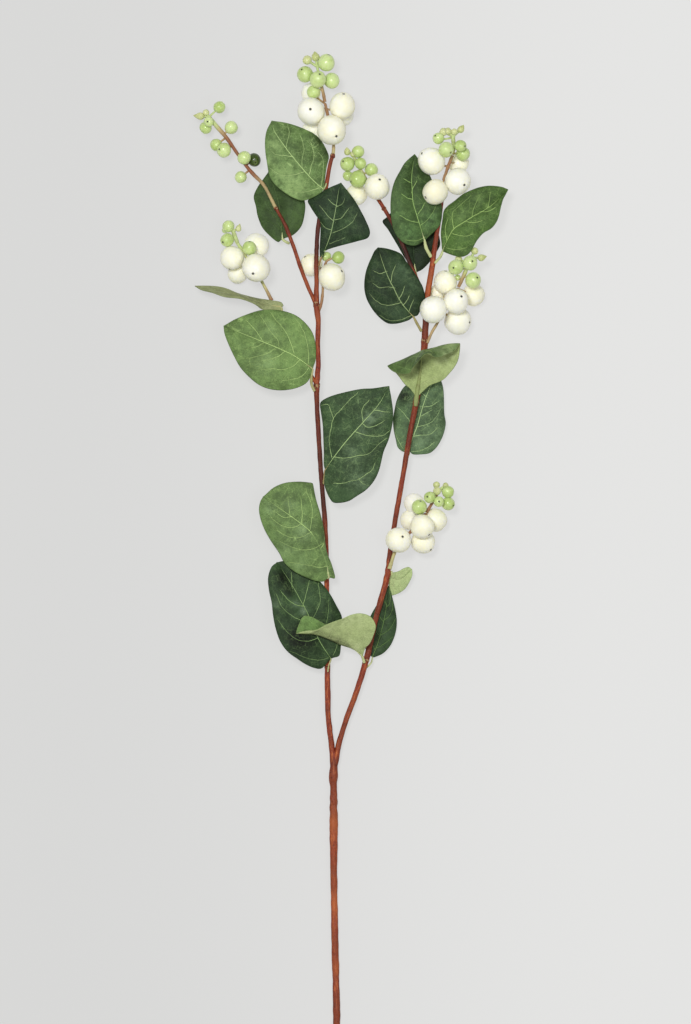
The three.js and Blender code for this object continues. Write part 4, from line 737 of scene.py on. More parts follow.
            [(447, 241), (446, 230), (448, 220)], [(453, 234), (461, 236), (468, 236), (473, 234)],
            [(447, 248), (457, 250), (466, 248)], [(466, 222), (474, 223), (482, 221)],
            [(480, 212), (488, 212), (495, 208)]],
        "slot": "leaf_light", "seed": 16, "net": 0.8, "arch": 1.0, "ruffle": 0.5, "top": (84, 114, 56),
        "second": (124, 152, 92), "vein": (162, 194, 112), "under": (150, 176, 112),
        "patches": [(462, 216, 7, 0.5), (478, 200, 6, 0.3), (492, 200, 6, -0.22), (503, 191, 6, -0.25),
                    (446, 223, 6, -0.19)]},
    "leaf_behind_upper_right": {
        "petiole": [(416.6, 278.6, 10.6), (416, 275, 10.2)],
        "left": [(409.5, 265, 9.5), (403.6, 256, 9.4), (396.8, 244, 9.3), (388.4, 230, 9.2),
            (382.5, 221, 9), (386.7, 217, 8.7), (400, 203, 7.6)],
        "midrib": [(415.4, 271.6, 9.8), (413.6, 255, 9.2), (413, 235, 8.2), (414, 212, 7.2),
            (415, 192, 6.4)],
        "right": [(422, 269.6, 9.1), (429.7, 262, 8.5), (439.4, 247, 7.8), (440.4, 244, 7.7),
            (437, 228, 7.2), (427, 205, 6.6)],
        "veins": [[(414.4, 264.5), (412.2, 260.9), (408.1, 255), (400, 244.4)],
            [(412.9, 247.7), (408.7, 244), (402.6, 238), (391.7, 228.2)],
            [(412.5, 231.5), (405.8, 227.3), (399.1, 220.9), (396.9, 211.4)],
            [(413.4, 214.7), (409.4, 210.2), (407.6, 203.8), (411.5, 195.2)],
            [(415.1, 268.1), (416.9, 265.5), (421.3, 261.4), (430.8, 253.4)],
            [(413.8, 252.6), (418.9, 250), (426.3, 244.7), (433.7, 234.2)],
            [(413.5, 234.2), (419.4, 231.8), (425, 227), (429.7, 218.7)],
            [(414, 218.9), (418.4, 215.4), (421.6, 209.4), (421.1, 199.8)]],
        "slot": "leaf_dark", "seed": 17, "net": 0.3, "arch": 0.6, "ruffle": 0.3, "top": (34, 50, 28),
        "second": (60, 90, 52), "vein": (60, 82, 46), "veinShow": 0.4, "under": (120, 145, 90)},
}


def fromLine(pixels, line):
    # the distance in mm to the nearest stretch of a line, below 0 on its one side and above 0 on the other
    along = np.diff(line, axis=0)
    away = pixels[..., None, :] - line[:-1]
    share = np.clip((away * along).sum(axis=-1) / (along ** 2).sum(axis=-1), 0, 1)
    away = away - share[..., None] * along
    gap = np.linalg.norm(away, axis=-1) * picture["metresPerPixel"] / mm
    side = np.where(along[:, 0] * away[..., 1] < along[:, 1] * away[..., 0], -1.0, 1.0)
    nearest = gap.argmin(axis=-1)[..., None]
    return np.take_along_axis(gap * side, nearest, axis=-1)[..., 0]


def normals(surface):
    # unit normals of the cells, summed round every corner, so that a sharp fold gets its bisector
    cell = unit(np.cross(surface[:-1, 1:] - surface[:-1, :-1], surface[1:, :-1] - surface[:-1, :-1]))
    cell = np.pad(cell, ((1, 1), (1, 1), (0, 0)), mode="edge")
    return unit(cell[:-1, :-1] + cell[1:, :-1] + cell[:-1, 1:] + cell[1:, 1:])


def leafSkins(leaf):
    # a point is the midrib at that share of its length, moved towards the margin at the same share of its
    # own, and lifted along its normal by an arch in each half, pillows between the veins, a wave of the
    # margin and a smooth random surface; the blade then gets its thickness, with a rounded edge
    spine, left, right = (place(leaf[key]) for key in ("midrib", "left", "right"))
    share = (1 - np.cos(np.pi * np.linspace(0.012, 1, leaf["rows"]))) / 2  # closer rows at both ends
    foot = unit(right[0] - left[0]) * leaf["halfFoot"] * mm
    tip = unit(right[-1] - left[-1]) * leaf["halfTip"] * mm
    leftMargin, rightMargin = (
        smoothCurve(np.vstack([spine[0] + foot * side, edge, spine[-1] + tip * side]), pace)[:, None]
        for side, edge, pace in ((-1, left, share ** leaf["leftPace"]), (1, right, share)))
    middle = smoothCurve(spine, share)[:, None]
    even = np.linspace(-1, 1, 2 * leaf["halfColumns"] + 1)[None, :]
    across = 0.5 * even + 0.5 * np.sin(even * np.pi / 2)  # closer columns at the margins
    out = np.abs(across)
    reach = np.where(across[..., None] < 0, leftMargin, rightMargin) - middle
    sheet = middle + out[..., None] * reach
    u, v = np.broadcast_arrays(share[:, None], across)
    pixels = pixelsOf(sheet)

    # how far each point lies from every side vein, and far away for the veins that a leaf doesn't have
    alongVein = np.linspace(0, 1, leaf["veinPoints"])
    gaps = [fromLine(pixels, smoothCurve(np.array(vein, float), alongVein)) for vein in leaf["veins"]]
    gaps = np.stack(gaps + [np.full(u.shape, 99.0)] * (mostVeins - len(gaps)), axis=-1)
    nearest = np.minimum(np.abs(gaps).min(axis=-1), np.linalg.norm(sheet - middle, axis=-1) / mm)

    swollen = 1 - np.exp(-(nearest / leaf["veinWidth"]) ** 2)
    bulge = 4 * out * (1 - out)
    along = np.sin(np.pi * u)
    relief = (leaf["arch"] * bulge * along ** 0.5 + leaf["pillow"] * swollen * bulge * along
              + leaf["ruffle"] * out ** 3 * along * drift(u * 1.3, v * 0.4, leaf["seed"] + 9, 6, 3)
              + leaf["uneven"] * drift(u, v, leaf["seed"] + 30, 7, 1.8) * along * out)
    sheet = sheet + normals(sheet) * relief[..., None] * mm
    thick = np.sqrt(1 - out ** 10)[..., None] * normals(sheet) * leaf["thickness"] * mm / 2

    wide = np.linalg.norm(reach, axis=-1) / mm
    # the patches: above 0 the second tone, partly the leaf's own tint and partly painted sheen and light;
    # below 0 painted shade
    tintPaintedLightAndShade = sum(amount * np.exp(-((pixels[..., 0] - x) ** 2 + (pixels[..., 1] - y) ** 2) / radius ** 2)
               for x, y, radius, amount in leaf["patches"]) + 0 * u
    facing = 0.0 if leaf["turned"] else 1.0  # 1 on the upper side of the leaf and 0 on its underside
    wrap = lambda top, under: np.concatenate([top, under[:, -2:0:-1]], axis=1)
    stack = lambda *layers: np.stack([np.broadcast_to(layer, u.shape) for layer in layers], axis=-1)
    mark = stack(out * wide, (1 - out) * wide, tintPaintedLightAndShade)
    veins = {"veins" + which: wrap(gaps[..., k:k + 3], gaps[..., k:k + 3])
             for k, which in ((0, "Low"), (3, "Middle"), (6, "High"))}
    blade = skin(wrap(sheet + thick, sheet - thick),
                 {"leafPlace": wrap(stack(u, v, facing), stack(u, v, 1 - facing)),
                  "leafMark": wrap(mark, mark), **veins})

    # the petiole runs on under the midrib and thins out there
    underRib = smoothCurve(spine, np.array([0, 0.27, 0.6, 1]) * leaf["rib"])
    stalk = np.vstack([place(leaf["petiole"]), underRib])
    fromRoot = np.linspace(0, 1, leaf["petioleRows"])
    path = smoothCurve(stalk, fromRoot)
    bladeFrom = len(leaf["petiole"]) / len(stalk)
    thin = np.interp(fromRoot, [0, 0.12, bladeFrom, 0.75, 1], [0.9, 1.0, 0.95, 0.45, 0.1])
    thin = leaf["petioleRadius"] * leaf["stalk"] * thin[:, None] * mm
    path = np.hstack([path, thin, np.full(thin.shape, leaf["red"])])
    petiole = skin(*tube(path, leaf["petioleSides"], lambda a, r: 0.05 * np.cos(2 * a + r)), 1)
    return [blade, petiole]


def leafFinish(name, leaf):
    # a matt cloth-like blade: mottled top, pale underside, veins in thin broken lines, darker cut edge, and
    # patches of painted shade and of a second tone that is partly painted sheen
    finish = Finish(name)
    u, v, side = finish.parts("leafPlace")
    fromRib, fromEdge, tintPaintedLightAndShade = finish.parts("leafMark")
    top, second, under, vein, backVein = (
        colour(*leaf[key]) for key in ("top", "second", "under", "vein", "backVein"))
    spot = finish.here()
    out = abs(v)
    mottle = finish.noise(spot, 240, 7, 0.75)
    wide = finish.noise(spot, 60, 3)
    cloth = finish.noise(spot, 1500, 3, 0.7)
    waver = (finish.noise(spot, 420, 3) - 0.5) * 0.7

    # the side veins, the midrib and two nets of the finest veins, each (scale, line width, strength)
    gaps = [gap for which in ("veinsLow", "veinsMiddle", "veinsHigh") for gap in finish.parts(which)]
    fromVein = abs(gaps[0] + waver)
    for gap in gaps[1:len(leaf["veins"])]:
        fromVein = fromVein.atMost(abs(gap + waver))
    sideVein = (1 - (fromVein / (0.25 - out * 0.11)).step(0.5, 1.2)) * (1 - out.step(0.85, 1.0) * 0.7)
    sideVein = sideVein * (wide.step(0.36, 0.56) * 0.5 + 0.5)
    rib = (1 - (fromRib / (0.4 - u * 0.24)).step(0.5, 1.15)) * (1 - u.step(0.8, 1.0) * 0.6)
    rib = rib * (u.step(leaf["ribFrom"] - 0.06, leaf["ribFrom"]) * 0.8 + 0.2)
    net = 0
    for scale, thin, strength in ((230.0, 0.035, 0.45), (620.0, 0.07, 0.3)):
        cells = finish.node("TexVoronoi", {"feature": "DISTANCE_TO_EDGE"}, {"Vector": spot, "Scale": scale})
        threads = (1 - cells.step(thin * 0.3, thin)) * mottle.step(0.4, 0.6)
        net = (threads * (strength * leaf["net"])).atLeast(net)
    net = net * (1 - out.step(0.8, 1.0))
    veins = rib.atLeast(sideVein * 0.95).atLeast(net)

    # the second tone where the patches are above 0: the leaf's own paler tint in places, painted sheen and
    # light in others
    tintAndPaintedSheen = (tintPaintedLightAndShade * mottle.step(0.3, 0.62)).atLeast(0.0).atMost(1.0)
    # painted shade: where the patches are below 0 the colour goes nearly black, as shade in hollows, folds
    # and under curled margins
    hollow = (tintPaintedLightAndShade * -1).atLeast(0.0).atMost(0.95)
    face = finish.blend((mottle * 0.28 + cloth * 0.34 + wide * 0.38).step(0.4, 0.6), darker(top, 0.47), top)
    face = finish.blend(tintAndPaintedSheen, face, second)
    face = finish.blend(hollow, face, darker(top, 0.08))
    face = finish.blend(veins * leaf["veinShow"], face, vein)
    back = finish.blend((mottle * 0.5 + cloth * 0.5).step(0.4, 0.58), darker(under, 0.72), under)
    back = finish.blend(tintAndPaintedSheen, back, second)
    # a turned leaf gets the painted shade on its underside as well
    if leaf["turned"]:
        back = finish.blend(hollow, back, darker(under, 0.12))
    back = finish.blend(veins * 0.3, back, backVein)
    tone = finish.blend(side, back, face)
    tone = finish.blend((1 - fromEdge.step(0.05, 0.5)) * 0.35, tone, darker(top, 0.62))
    rough = 0.62 - mottle * 0.12 - veins * 0.08
    height = mottle * 0.6 + cloth * 0.3 - veins * (0.3 if leaf["turned"] else 0.9)
    return finish.close(tone, rough, height, 0.4 * mm, Specular_IOR_Level=0.16)


def stalkFinish(name, tones):
    # a stalk that goes from pale green over tan to red brown with its redness, unevenly
    finish = Finish(name)
    pale, tan, brown = (colour(*tone) for tone in tones)
    red, *_ = finish.parts("stalkTone")
    grain = finish.noise(finish.here(), 420, 3)
    stretch = finish.noise(finish.here(), 160, 2)
    red = red + (stretch - 0.5) * 0.3
    tone = finish.blend(red.step(0.0, 0.55), pale, tan)
    tone = finish.blend(red.step(0.45, 1.0), tone, brown)
    tone = finish.blend((1 - grain.step(0.3, 0.55)) * 0.4, tone, darker(tan, 0.45))
    return finish.close(tone, 0.6, grain, 0.25 * mm, Specular_IOR_Level=0.35)


petioleFinish = stalkFinish("petiole", usualLeaf["stalkTones"])
for node, own in leaves.items():
    leaf = {**usualLeaf, **own}
    stalk = stalkFinish(node + "Petiole", leaf["stalkTones"]) if "stalkTones" in own else petioleFinish
    makePiece(node, leaf["slot"], leafSkins(leaf), [leafFinish(node + "Blade", leaf), stalk])
print("the leaves are made")

# The bunches. A rachis point is (pixel x, pixel y, height mm, radius mm, redness), the last from 0, pale
# green, to 1, red brown. A berry is (pixel x, pixel y, height mm, radius mm), then the pixel of its dark
# dot where it shows, and last its tone where it is known, from 0, light, to 1, deep, and 2, olive, and
# below 0 without a dot. A bud ends in its tip's pixel. grow: how much larger a berry is made than it says.
berryShape = {"rows": 22, "ring": 30, "greenRows": 16, "greenRing": 22, "grow": 1.035, "dimple": 0.22,
              "dimpleReach": 0.6, "shortestTip": 0.3, "stalkRadius": 0.5, "stalkRows": 12, "stalkSides": 10,
              "rachisRows": 60, "rachisSides": 14, "knot": 0.16,
              "white": (252, 251, 237), "cream": (246, 242, 212), "green": (207, 224, 158),
              "deepGreen": (174, 197, 112), "olive": (58, 76, 24), "bud": (209, 214, 158),
              "deepBud": (180, 188, 122), "dot": (30, 28, 24),
              "stalks": [(190, 206, 140), (180, 156, 112), (142, 88, 60)]}
bunches = {
    "top_bunch": {
        "brownRachis": [(333.1, 154.9, 14, 0.85, 0.35), (333.6, 145.6, 14, 0.75, 0.5),
            (331, 128, 13.6, 0.7, 0.75), (327.9, 115.8, 13.6, 0.7, 0.8), (325.2, 104, 13.8, 0.7, 0.8)],
        "whites": [(311, 111.6, 17.5, 6.75, 310.4, 110), (331.7, 130.9, 21, 7.1, 336.5, 137.3),
            (342.4, 105.8, 17, 6.35, 343.7, 94.5), (342.5, 114.5, 5.1, 5.5), (313.3, 130.3, 5.15, 5.4),
            (311, 92.8, 4.55, 4.8)],
        "greenRachis": [(324.8, 102.1, 13.8, 0.75, 0.8), (323.3, 93.6, 14, 0.78, 0.7),
            (321.7, 87.4, 14.2, 0.75, 0.4), (317.1, 66.8, 15, 0.65, 0)],
        "greens": [(326.3, 63, 16.4, 4.2, 329, 55.2, 0.1), (305.1, 74.4, 14.4, 4, 301.6, 69.7, 0.4),
            (317.9, 79.8, 19.4, 4.1, 319.8, 74.8, 0), (331.7, 80.8, 14, 3.9), (313.7, 92, 13.2, 3.3)],
        "buds": [(307.2, 60.3, 15, 2.24), (315.6, 57.5, 15, 2.02, 314.8, 51.5)]},
    "left_spray": {
        "greenRachis": [(275.4, 207.4, 12, 0.85, 0.45), (270.8, 198, 12, 0.75, 0.45),
            (263.7, 185, 12, 0.75, 0.5), (253.7, 174.6, 12, 0.9, 0.9), (246, 165.6, 12, 0.75, 1),
            (237.9, 154.4, 12, 0.75, 1), (226.5, 137.8, 12.4, 0.9, 0.85), (215, 124.4, 12.4, 1, 0.1),
            (209, 117, 12.4, 0.85, 0)],
        "greens": [(219.4, 107.2, 12.4, 2.95, -0.9), (231.2, 127.6, 13, 3.25, -0.1),
            (205.7, 127.6, 9.6, 2.95, -0.9), (208.9, 121.9, 14.6, 2.45, 207.5, 121.9, 0.1),
            (216.3, 144.8, 10.4, 3, -1), (223.9, 150.3, 13.4, 3.55, 219.1, 149.5, 0.1),
            (244.3, 157.9, 15, 3.3, -0.2), (254.2, 159.8, 10, 3.3, 255.6, 163, 2),
            (240.8, 177.1, 12, 2.95, -0.2)],
        "buds": [(200.4, 116.2, 12.2, 1.9, 193.2, 115.5), (206, 112.6, 12, 1.62)]},
    "left_bunch": {
        "brownRachis": [(271.7, 300.5, 10, 0.9, 0.85), (265.9, 289, 10.2, 0.7, 0.4),
            (258, 275, 10.6, 0.7, 0.25), (248, 260, 11.4, 0.7, 0.2), (243.4, 252, 12, 0.7, 0.2)],
        "whites": [(232.1, 257.9, 12.6, 5.75, 229.7, 269.3), (256.2, 268.3, 18.6, 6.85, 253.2, 274.2),
            (256.5, 245.5, 5.8, 6.2), (237.8, 273.6, 4.4, 4.8)],
        "greenRachis": [(242.6, 250.5, 12.1, 0.75, 0.15), (237.8, 243.5, 12.6, 0.86, 0.05),
            (235.1, 236.8, 12.8, 0.94, 0), (233, 231, 13, 1, 0)],
        "greens": [(249.5, 248.2, 16, 3.4, 249.7, 241.8), (227.1, 240.1, 13.6, 3.3, 222.8, 242.5),
            (228.4, 226.4, 13, 2.95), (225, 230.1, 10.6, 1.5)],
        "buds": [(238.4, 228.8, 13.4, 1.46, 240, 223.6)]},
    "centre_bunch": {
        "brownRachis": [(318.4, 312, 12.6, 0.7, 0.8), (321.2, 304, 13.6, 0.7, 0.8),
            (322.4, 296, 13.8, 0.65, 0.75), (323.4, 281, 13.4, 0.65, 0.7), (324.2, 267.6, 13, 0.65, 0.7)],
        "whites": [(311.2, 264.9, 5.9, 5.6, 304.7, 256.2), (331.9, 277.3, 17.2, 6.6, 342.1, 271.3)],
        "greenRachis": [(324.6, 266.4, 13, 0.6, 0.8), (327, 261, 13, 0.55, 0.7),
            (331, 258.7, 13.4, 0.55, 0.5)],
        "greens": [(338.3, 257.6, 15, 3.1, -1.3), (326.3, 256.6, 11.6, 2.4, -0.6)],
        "buds": []},
    "middle_bunch": {
        "brownRachis": [(379, 200.5, 12.4, 0.85, 0.9), (375, 194, 12.8, 0.75, 0.8),
            (371, 188, 13, 0.7, 0.6)],
        "whites": [(377.2, 187, 19.2, 6.25, 379.7, 180.2), (356.5, 194.5, 8.6, 5.25)],
        "greenRachis": [(370.2, 186.4, 13, 0.75, 0.6), (364, 176, 13, 0.77, 0.4),
            (358, 165, 13.4, 0.73, 0.2), (353, 156, 13.6, 0.69, 0.1), (350, 153, 13.6, 0.65, 0)],
        "greens": [(358.1, 151.8, 14.4, 3, -0.8), (360.6, 163.6, 15.6, 2.85, -1),
            (347.3, 164.1, 13.6, 3.55, 343, 161.5, 1), (371.3, 169.7, 11, 3.25, -0.9),
            (357.6, 179.4, 16, 4.1, 350.8, 182, 1.15), (347.9, 175.8, 10.6, 2.5, -0.7)],
        "buds": [(347.3, 152.2, 13.6, 1.57, 346.8, 147.2), (353, 154.4, 15, 1.46)]},
    "right_tip_bunch": {
        "brownRachis": [(443.8, 180.4, 14, 0.85, 0.7), (446.6, 171, 14.6, 0.75, 0.8),
            (449.6, 162.6, 15.4, 0.75, 0.8), (452.4, 155.6, 16, 0.7, 0.6)],
        "whites": [(431.3, 161.4, 18, 6.75, 421.7, 153.9), (457.7, 181.6, 17.4, 6.4, 464.4, 185.7),
            (435.1, 192.5, 21.8, 6.15, 425.5, 198.2), (458.7, 162.8, 6, 5)],
        "greenRachis": [(452.6, 154.7, 16.1, 0.75, 0.5), (453.4, 147, 16.8, 0.93, 0.1),
            (452.9, 136.7, 17.6, 1.02, 0)],
        "greens": [(438.3, 138.7, 17.6, 2.85, 434.9, 136.1), (445.9, 150.4, 23.4, 3.75, 450.7, 153.8),
            (460.3, 146.3, 19.6, 2.9), (462.8, 153.9, 14.2, 3.5)],
        "buds": [(443.4, 132.2, 17.4, 1.96), (447.8, 131.6, 17.8, 1.79), (454.2, 132.2, 18, 1.68),
            (460.6, 130, 18, 1.68, 463.8, 125.2)]},
    "right_bunch": {
        "brownRachis": [(427.2, 343.2, 15, 0.65, 0.6), (431.8, 332.5, 14.6, 0.65, 0.55),
            (436.8, 324.1, 13.8, 0.65, 0.5), (444, 311, 12.8, 0.65, 0.6), (452, 298, 12.4, 0.7, 0.7),
            (457.6, 288.6, 12.4, 0.7, 0.8)],
        "whites": [(445.2, 282.2, 14, 5.65, 445.6, 271.2), (432.9, 309.7, 21.5, 6.6, 426, 304, -0.2),
            (456.1, 301.3, 18.5, 6.1, 461.3, 296.8), (457.8, 321, 8.4, 6.6, 470.1, 322.4),
            (473.9, 294.6, 5.1, 5.5), (438.2, 293.2, 5, 4.5)],
        "greenRachis": [(458.4, 287, 12.4, 0.75, 0.8), (461.6, 280.4, 13, 0.85, 0.6),
            (465.5, 271.5, 14, 0.87, 0.2), (471, 258, 15.6, 0.88, 0)],
        "greens": [(455.7, 267.3, 17.4, 3.75, 453.2, 268.3, 0.3),
            (470.1, 263.1, 18, 3.65, 472.3, 261.5, 0.05), (473.2, 280.3, 15.4, 3.9, 477.3, 277.8, 0.1),
            (457.8, 277.6, 11, 1.5)],
        "buds": [(481, 258, 16.6, 1.68, 486.9, 256.4), (474.6, 251.1, 15.6, 1.79),
            (458.5, 259.4, 13.8, 1.79)]},
    "lower_right_bunch": {
        "brownRachis": [(389.4, 569, 11.4, 1, 0.3), (391.6, 562, 11.5, 0.85, 0.3),
            (394.5, 553, 11.3, 0.72, 0.35), (402, 540, 10.8, 0.65, 0.6), (410.6, 531.8, 10.7, 0.7, 0.9),
            (418, 522, 11.2, 0.75, 0.9), (425.5, 514, 12, 0.7, 0.9)],
        "whites": [(398.2, 540.2, 17.6, 6.15, 402.7, 536.5), (422.1, 526.4, 19, 5.9, 429.2, 535.2),
            (423.3, 541.8, 10.6, 5.85, 430.8, 549.8), (435, 520, 7.6, 5.8), (410.2, 520.2, 5, 4.85),
            (414, 503.2, 5.2, 5)],
        "greenRachis": [(426.5, 512.4, 12.2, 0.75, 0.85), (432.4, 502.6, 13, 0.74, 0.8),
            (437, 494, 13.6, 0.79, 0.5), (439, 490, 13.8, 0.7, 0)],
        "greens": [(419.2, 507.1, 15.6, 3.75, 420.6, 500.8), (429.8, 497.4, 17.6, 2.9),
            (448.2, 503.7, 12.6, 3.25, 453.4, 505.7), (447.9, 491.9, 13.6, 2.95),
            (438.7, 501.7, 18, 2.6, 439, 501.5)],
        "buds": [(436.4, 484.9, 14, 1.68), (437, 491, 16, 1.96), (445.6, 485.4, 12.6, 1.4)]},
}


def berryLoops(centre, radius, towards, rows, ring, seed, tipLength=0.0, tone=None):
    # a ball in rings from the stalk to the dot: slightly uneven, with a dimple at the dot, or drawn out to
    # a tip where it has a tip length
    chance = np.random.default_rng(seed)
    lift = np.eye(3)[np.argmin(np.abs(towards))]
    across = unit(np.cross(lift, towards))
    upward = np.cross(towards, across)
    polar = (np.pi * (1 - (1 - np.linspace(0.03, 0.995, rows)) ** 1.5))[:, None]
    angle = np.linspace(0, 2 * np.pi, ring, endpoint=False)[None, :]
    # three gentle waves: two humps round it, bands from pole to pole, and three humps that wind round it
    uneven = 1 + 0.022 * np.cos(2 * angle + chance.uniform(0, 6)) * np.sin(polar) ** 2
    uneven = uneven + 0.018 * np.cos(3 * polar + chance.uniform(0, 6))
    uneven = uneven + 0.012 * np.cos(3 * angle + polar * 2)
    fromDot = (np.pi - polar) * radius / mm
    hollow = 0.0 if tipLength else berryShape["dimple"] * mm
    size = radius * uneven - hollow * np.exp(-(fromDot / berryShape["dimpleReach"]) ** 2)
    drawn = np.where(polar > np.pi / 2, 1 + tipLength / radius * (1 - np.sin(polar)) ** 1.5, 1.0)
    spoke = np.cos(angle)[..., None] * across + np.sin(angle)[..., None] * upward
    loops = centre + (size * np.sin(polar))[..., None] * spoke
    loops = loops - (size * np.cos(polar) * drawn)[..., None] * towards
    tone = chance.uniform(0, 1) if tone is None else tone
    return loops, {"berryMark": np.stack(np.broadcast_arrays(fromDot + 0 * angle, tone, 0.0), axis=-1)}


def fruitSkins(fruits, rachis, seed, fine, isBud=False):
    # each fruit with its stalk, which leaves the rachis at its nearest point and bends a little; its dot
    # or tip faces the pixel that it gives, and otherwise it faces away from the rachis
    skins = []
    rows, ring = (berryShape[key] for key in (("rows", "ring") if fine else ("greenRows", "greenRing")))
    for order, fruit in enumerate(fruits):
        centre, radius = place([fruit[:4]])[0, :3], fruit[3] * berryShape["grow"] * mm
        nearest = rachis[np.argmin(np.linalg.norm(rachis[:, :3] - centre, axis=1))]
        root = nearest[:3]
        towards = unit(centre - root)
        tip = 0.0
        if len(fruit) > 5:
            aim = place([(*fruit[4:6], fruit[2])])[0] - centre
            if isBud:
                tip = max(np.linalg.norm(aim[:2]) - radius, berryShape["shortestTip"] * mm)
                towards = unit(aim)
            else:
                level = min(np.linalg.norm(aim[:2]) / radius, 0.985)
                towards = np.array([*(unit(aim[:2]) * level), np.sqrt(1 - level ** 2)])
        tone = fruit[-1] if len(fruit) % 2 else None  # an odd count of numbers ends in the tone
        loops, marks = berryLoops(centre, radius, towards, rows, ring, seed + order, tip, tone)
        skins.append(skin(loops, marks, 2 if isBud else 0))

        # the stalk ends inside its berry, and its middle hangs 0.08 of its length below a straight line
        inner = centre - towards * radius * 0.55 if not isBud else centre
        span = np.linalg.norm(inner - root)
        bend = root + (inner - root) * 0.5 + np.array([0, 0, -0.08]) * span
        along = np.linspace(0, 1, berryShape["stalkRows"])
        thin = berryShape["stalkRadius"] * mm * (1.3 if isBud else 1.0) * (1.1 - 0.2 * along[:, None])
        red = nearest[4] * (0.9 - 0.4 * along[:, None])
        path = np.hstack([smoothCurve(np.stack([root, bend, inner]), along), thin, red])
        skins.append(skin(*tube(path, berryShape["stalkSides"]), 1))
    return skins


def berryFinish(name, light, deep, rough, dotSize, shine):
    # a smooth skin that is a little uneven in tone, with a small dark dot where the flower was
    finish = Finish(name)
    light, deep = colour(*light), colour(*deep)
    olive, dark = colour(*berryShape["olive"]), colour(*berryShape["dot"])
    fromDot, tone, _ = finish.parts("berryMark")
    hasDot, tone = tone.step(-0.02, 0.0), abs(tone)
    spot = finish.here()
    cloud = finish.noise(spot, 190, 3)
    finger = finish.noise(spot, 620, 3, 0.6)
    ragged = finish.noise(spot, 2600, 2)
    speck = finish.noise(spot, 1500, 2)
    depth = (cloud * 0.6 + finger * 0.3 + tone * 0.2 - 0.08).step(0.3, 0.7)
    dot = (1 - (fromDot + ragged * 0.3).step(dotSize * 0.8, dotSize * 1.2)) * hasDot
    halo = (1 - fromDot.step(0.5, 1.6)) * hasDot
    skinTone = finish.blend(depth, light, deep)
    skinTone = finish.blend(tone.step(1.2, 2.0), skinTone, olive)
    skinTone = finish.blend(halo * 0.3, skinTone, darker(deep, 0.75))
    skinTone = finish.blend(dot * 0.95, skinTone, dark)
    return finish.close(skinTone, rough + 0.1 * cloud + 0.3 * dot, speck * 0.3 - dot, 0.12 * mm,
                        Specular_IOR_Level=0.32, Coat_Weight=shine, Coat_Roughness=0.14,
                        Subsurface_Weight=0.4, Subsurface_Radius=(1.0, 0.98, 0.75), Subsurface_Scale=0.003)


whiteFinish = berryFinish("ivoryBerry", berryShape["white"], berryShape["cream"], 0.38, 0.78, 0.05)
greenFinish = berryFinish("greenBerry", berryShape["green"], berryShape["deepGreen"], 0.32, 0.62, 0.4)
budFinish = berryFinish("paleBud", berryShape["bud"], berryShape["deepBud"], 0.4, 0.05, 0.1)
rachisFinish = stalkFinish("rachis", berryShape["stalks"])
halves = (("white", "brownRachis", "white_berry"), ("green", "greenRachis", "green_berry"))
for order, (name, bunch) in enumerate(bunches.items()):
    for half, stalkKey, slot in halves:
        if stalkKey not in bunch:  # one bunch has green berries only
            continue
        isWhite = half == "white"
        points = place(bunch[stalkKey])
        rachis = smoothCurve(points, np.linspace(0, 1, berryShape["rachisRows"]))
        knots = np.abs(np.sin(np.linspace(0, len(points) - 1, berryShape["rachisRows"]) * np.pi)) ** 8
        rachis[:, 3] *= 1.04 + berryShape["knot"] * knots
        skins = [skin(*tube(rachis, berryShape["rachisSides"],
                            lambda a, r: 0.07 * np.cos(2 * a + r * 0.9)), 1)]
        # every bunch has 40 seeds of its own, the last 20 of them for its buds
        skins += fruitSkins(bunch["whites" if isWhite else "greens"], rachis, 100 + 40 * order, isWhite)
        if not isWhite:
            skins += fruitSkins(bunch["buds"], rachis, 120 + 40 * order, False, True)
        makePiece(name + "_" + half, slot, skins,
                  [whiteFinish, rachisFinish] if isWhite else [greenFinish, rachisFinish, budFinish])
print("the bunches are made")

# The pale floor, the soft studio light and the camera straight above. A lamp is (name, place, size, power).
studio = {"floor": (97, 97, 96), "leftGlow": 0.56, "rightGlow": 0.65, "floorSize": 6.0, "skyStrength": 0.3,
          "cameraHeight": 6.0, "middleHeight": 0.012, "sensor": 36.0, "farthest": 50.0,
          "lamps": [("keyLamp", (-0.35, 0.5, 2.4), 0.45, 40.0), ("fillLamp", (0.7, -0.2, 2.2), 1.0, 9.0)]}


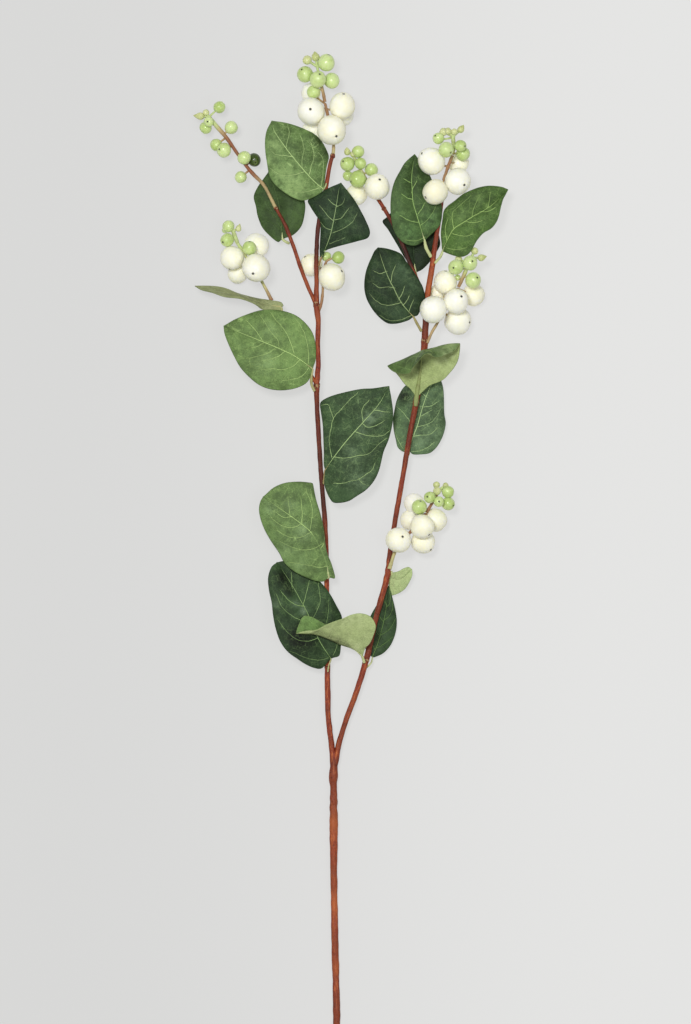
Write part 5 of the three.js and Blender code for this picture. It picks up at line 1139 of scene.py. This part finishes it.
def floorFinish():
    # a backlit pale table, a little brighter to the right; what lies on it throws only a faint shadow
    finish = Finish("paleFloor")
    x = finish.node("SeparateXYZ", {}, {0: finish.here()})
    ends = [(level, level, level * 0.99, 1.0) for level in (studio["leftGlow"], studio["rightGlow"])]
    finish.plug(finish.shader.inputs["Emission Color"], finish.blend(x.step(-0.16, 0.16), *ends))
    return finish.close(colour(*studio["floor"]), 0.9, finish.noise(finish.here(), 60, 2), 0.1 * mm,
                        Specular_IOR_Level=0.1, Emission_Strength=1.0)


half = studio["floorSize"] / 2
floorMesh = bpy.data.meshes.new("floor")
floorMesh.from_pydata([(-half, -half, 0), (half, -half, 0), (half, half, 0), (-half, half, 0)], [],
                      [(0, 1, 2, 3)])
floorMesh.materials.append(floorFinish())
floor = bpy.data.objects.new("floor", floorMesh)
bpy.context.scene.collection.objects.link(floor)

sky = bpy.data.worlds.new("softStudio")
sky.use_nodes = True
sky.node_tree.nodes["Background"].inputs["Color"].default_value = (1, 1, 1, 1)
sky.node_tree.nodes["Background"].inputs["Strength"].default_value = studio["skyStrength"]
bpy.context.scene.world = sky
bpy.context.scene.view_settings.view_transform = "Standard"


def aimed(name, data, where, target):
    # a new object whose own -Z looks from where it is to the target
    made = bpy.data.objects.new(name, data)
    made.location = where
    look = unit(np.array(target, float) - np.array(where, float))
    made.rotation_euler = (float(np.arccos(-look[2])), 0.0, float(np.arctan2(look[0], -look[1])) + np.pi)
    bpy.context.scene.collection.objects.link(made)


middle = place([(picture["width"] / 2, picture["height"] / 2, 0)])[0]
for name, where, size, power in studio["lamps"]:
    lamp = bpy.data.lights.new(name, "AREA")
    lamp.shape, lamp.size, lamp.energy = "SQUARE", size, power
    aimed(name, lamp, where, middle)

camera = bpy.data.cameras.new("camera")
camera.sensor_width = studio["sensor"]
camera.lens = studio["sensor"] * studio["cameraHeight"] / (picture["height"] * picture["metresPerPixel"])
camera.clip_end = studio["farthest"]
cameraObject = bpy.data.objects.new("camera", camera)
cameraObject.location = (middle[0], middle[1], studio["middleHeight"] + studio["cameraHeight"])
bpy.context.scene.collection.objects.link(cameraObject)
bpy.context.scene.camera = cameraObject
print("the studio is set")
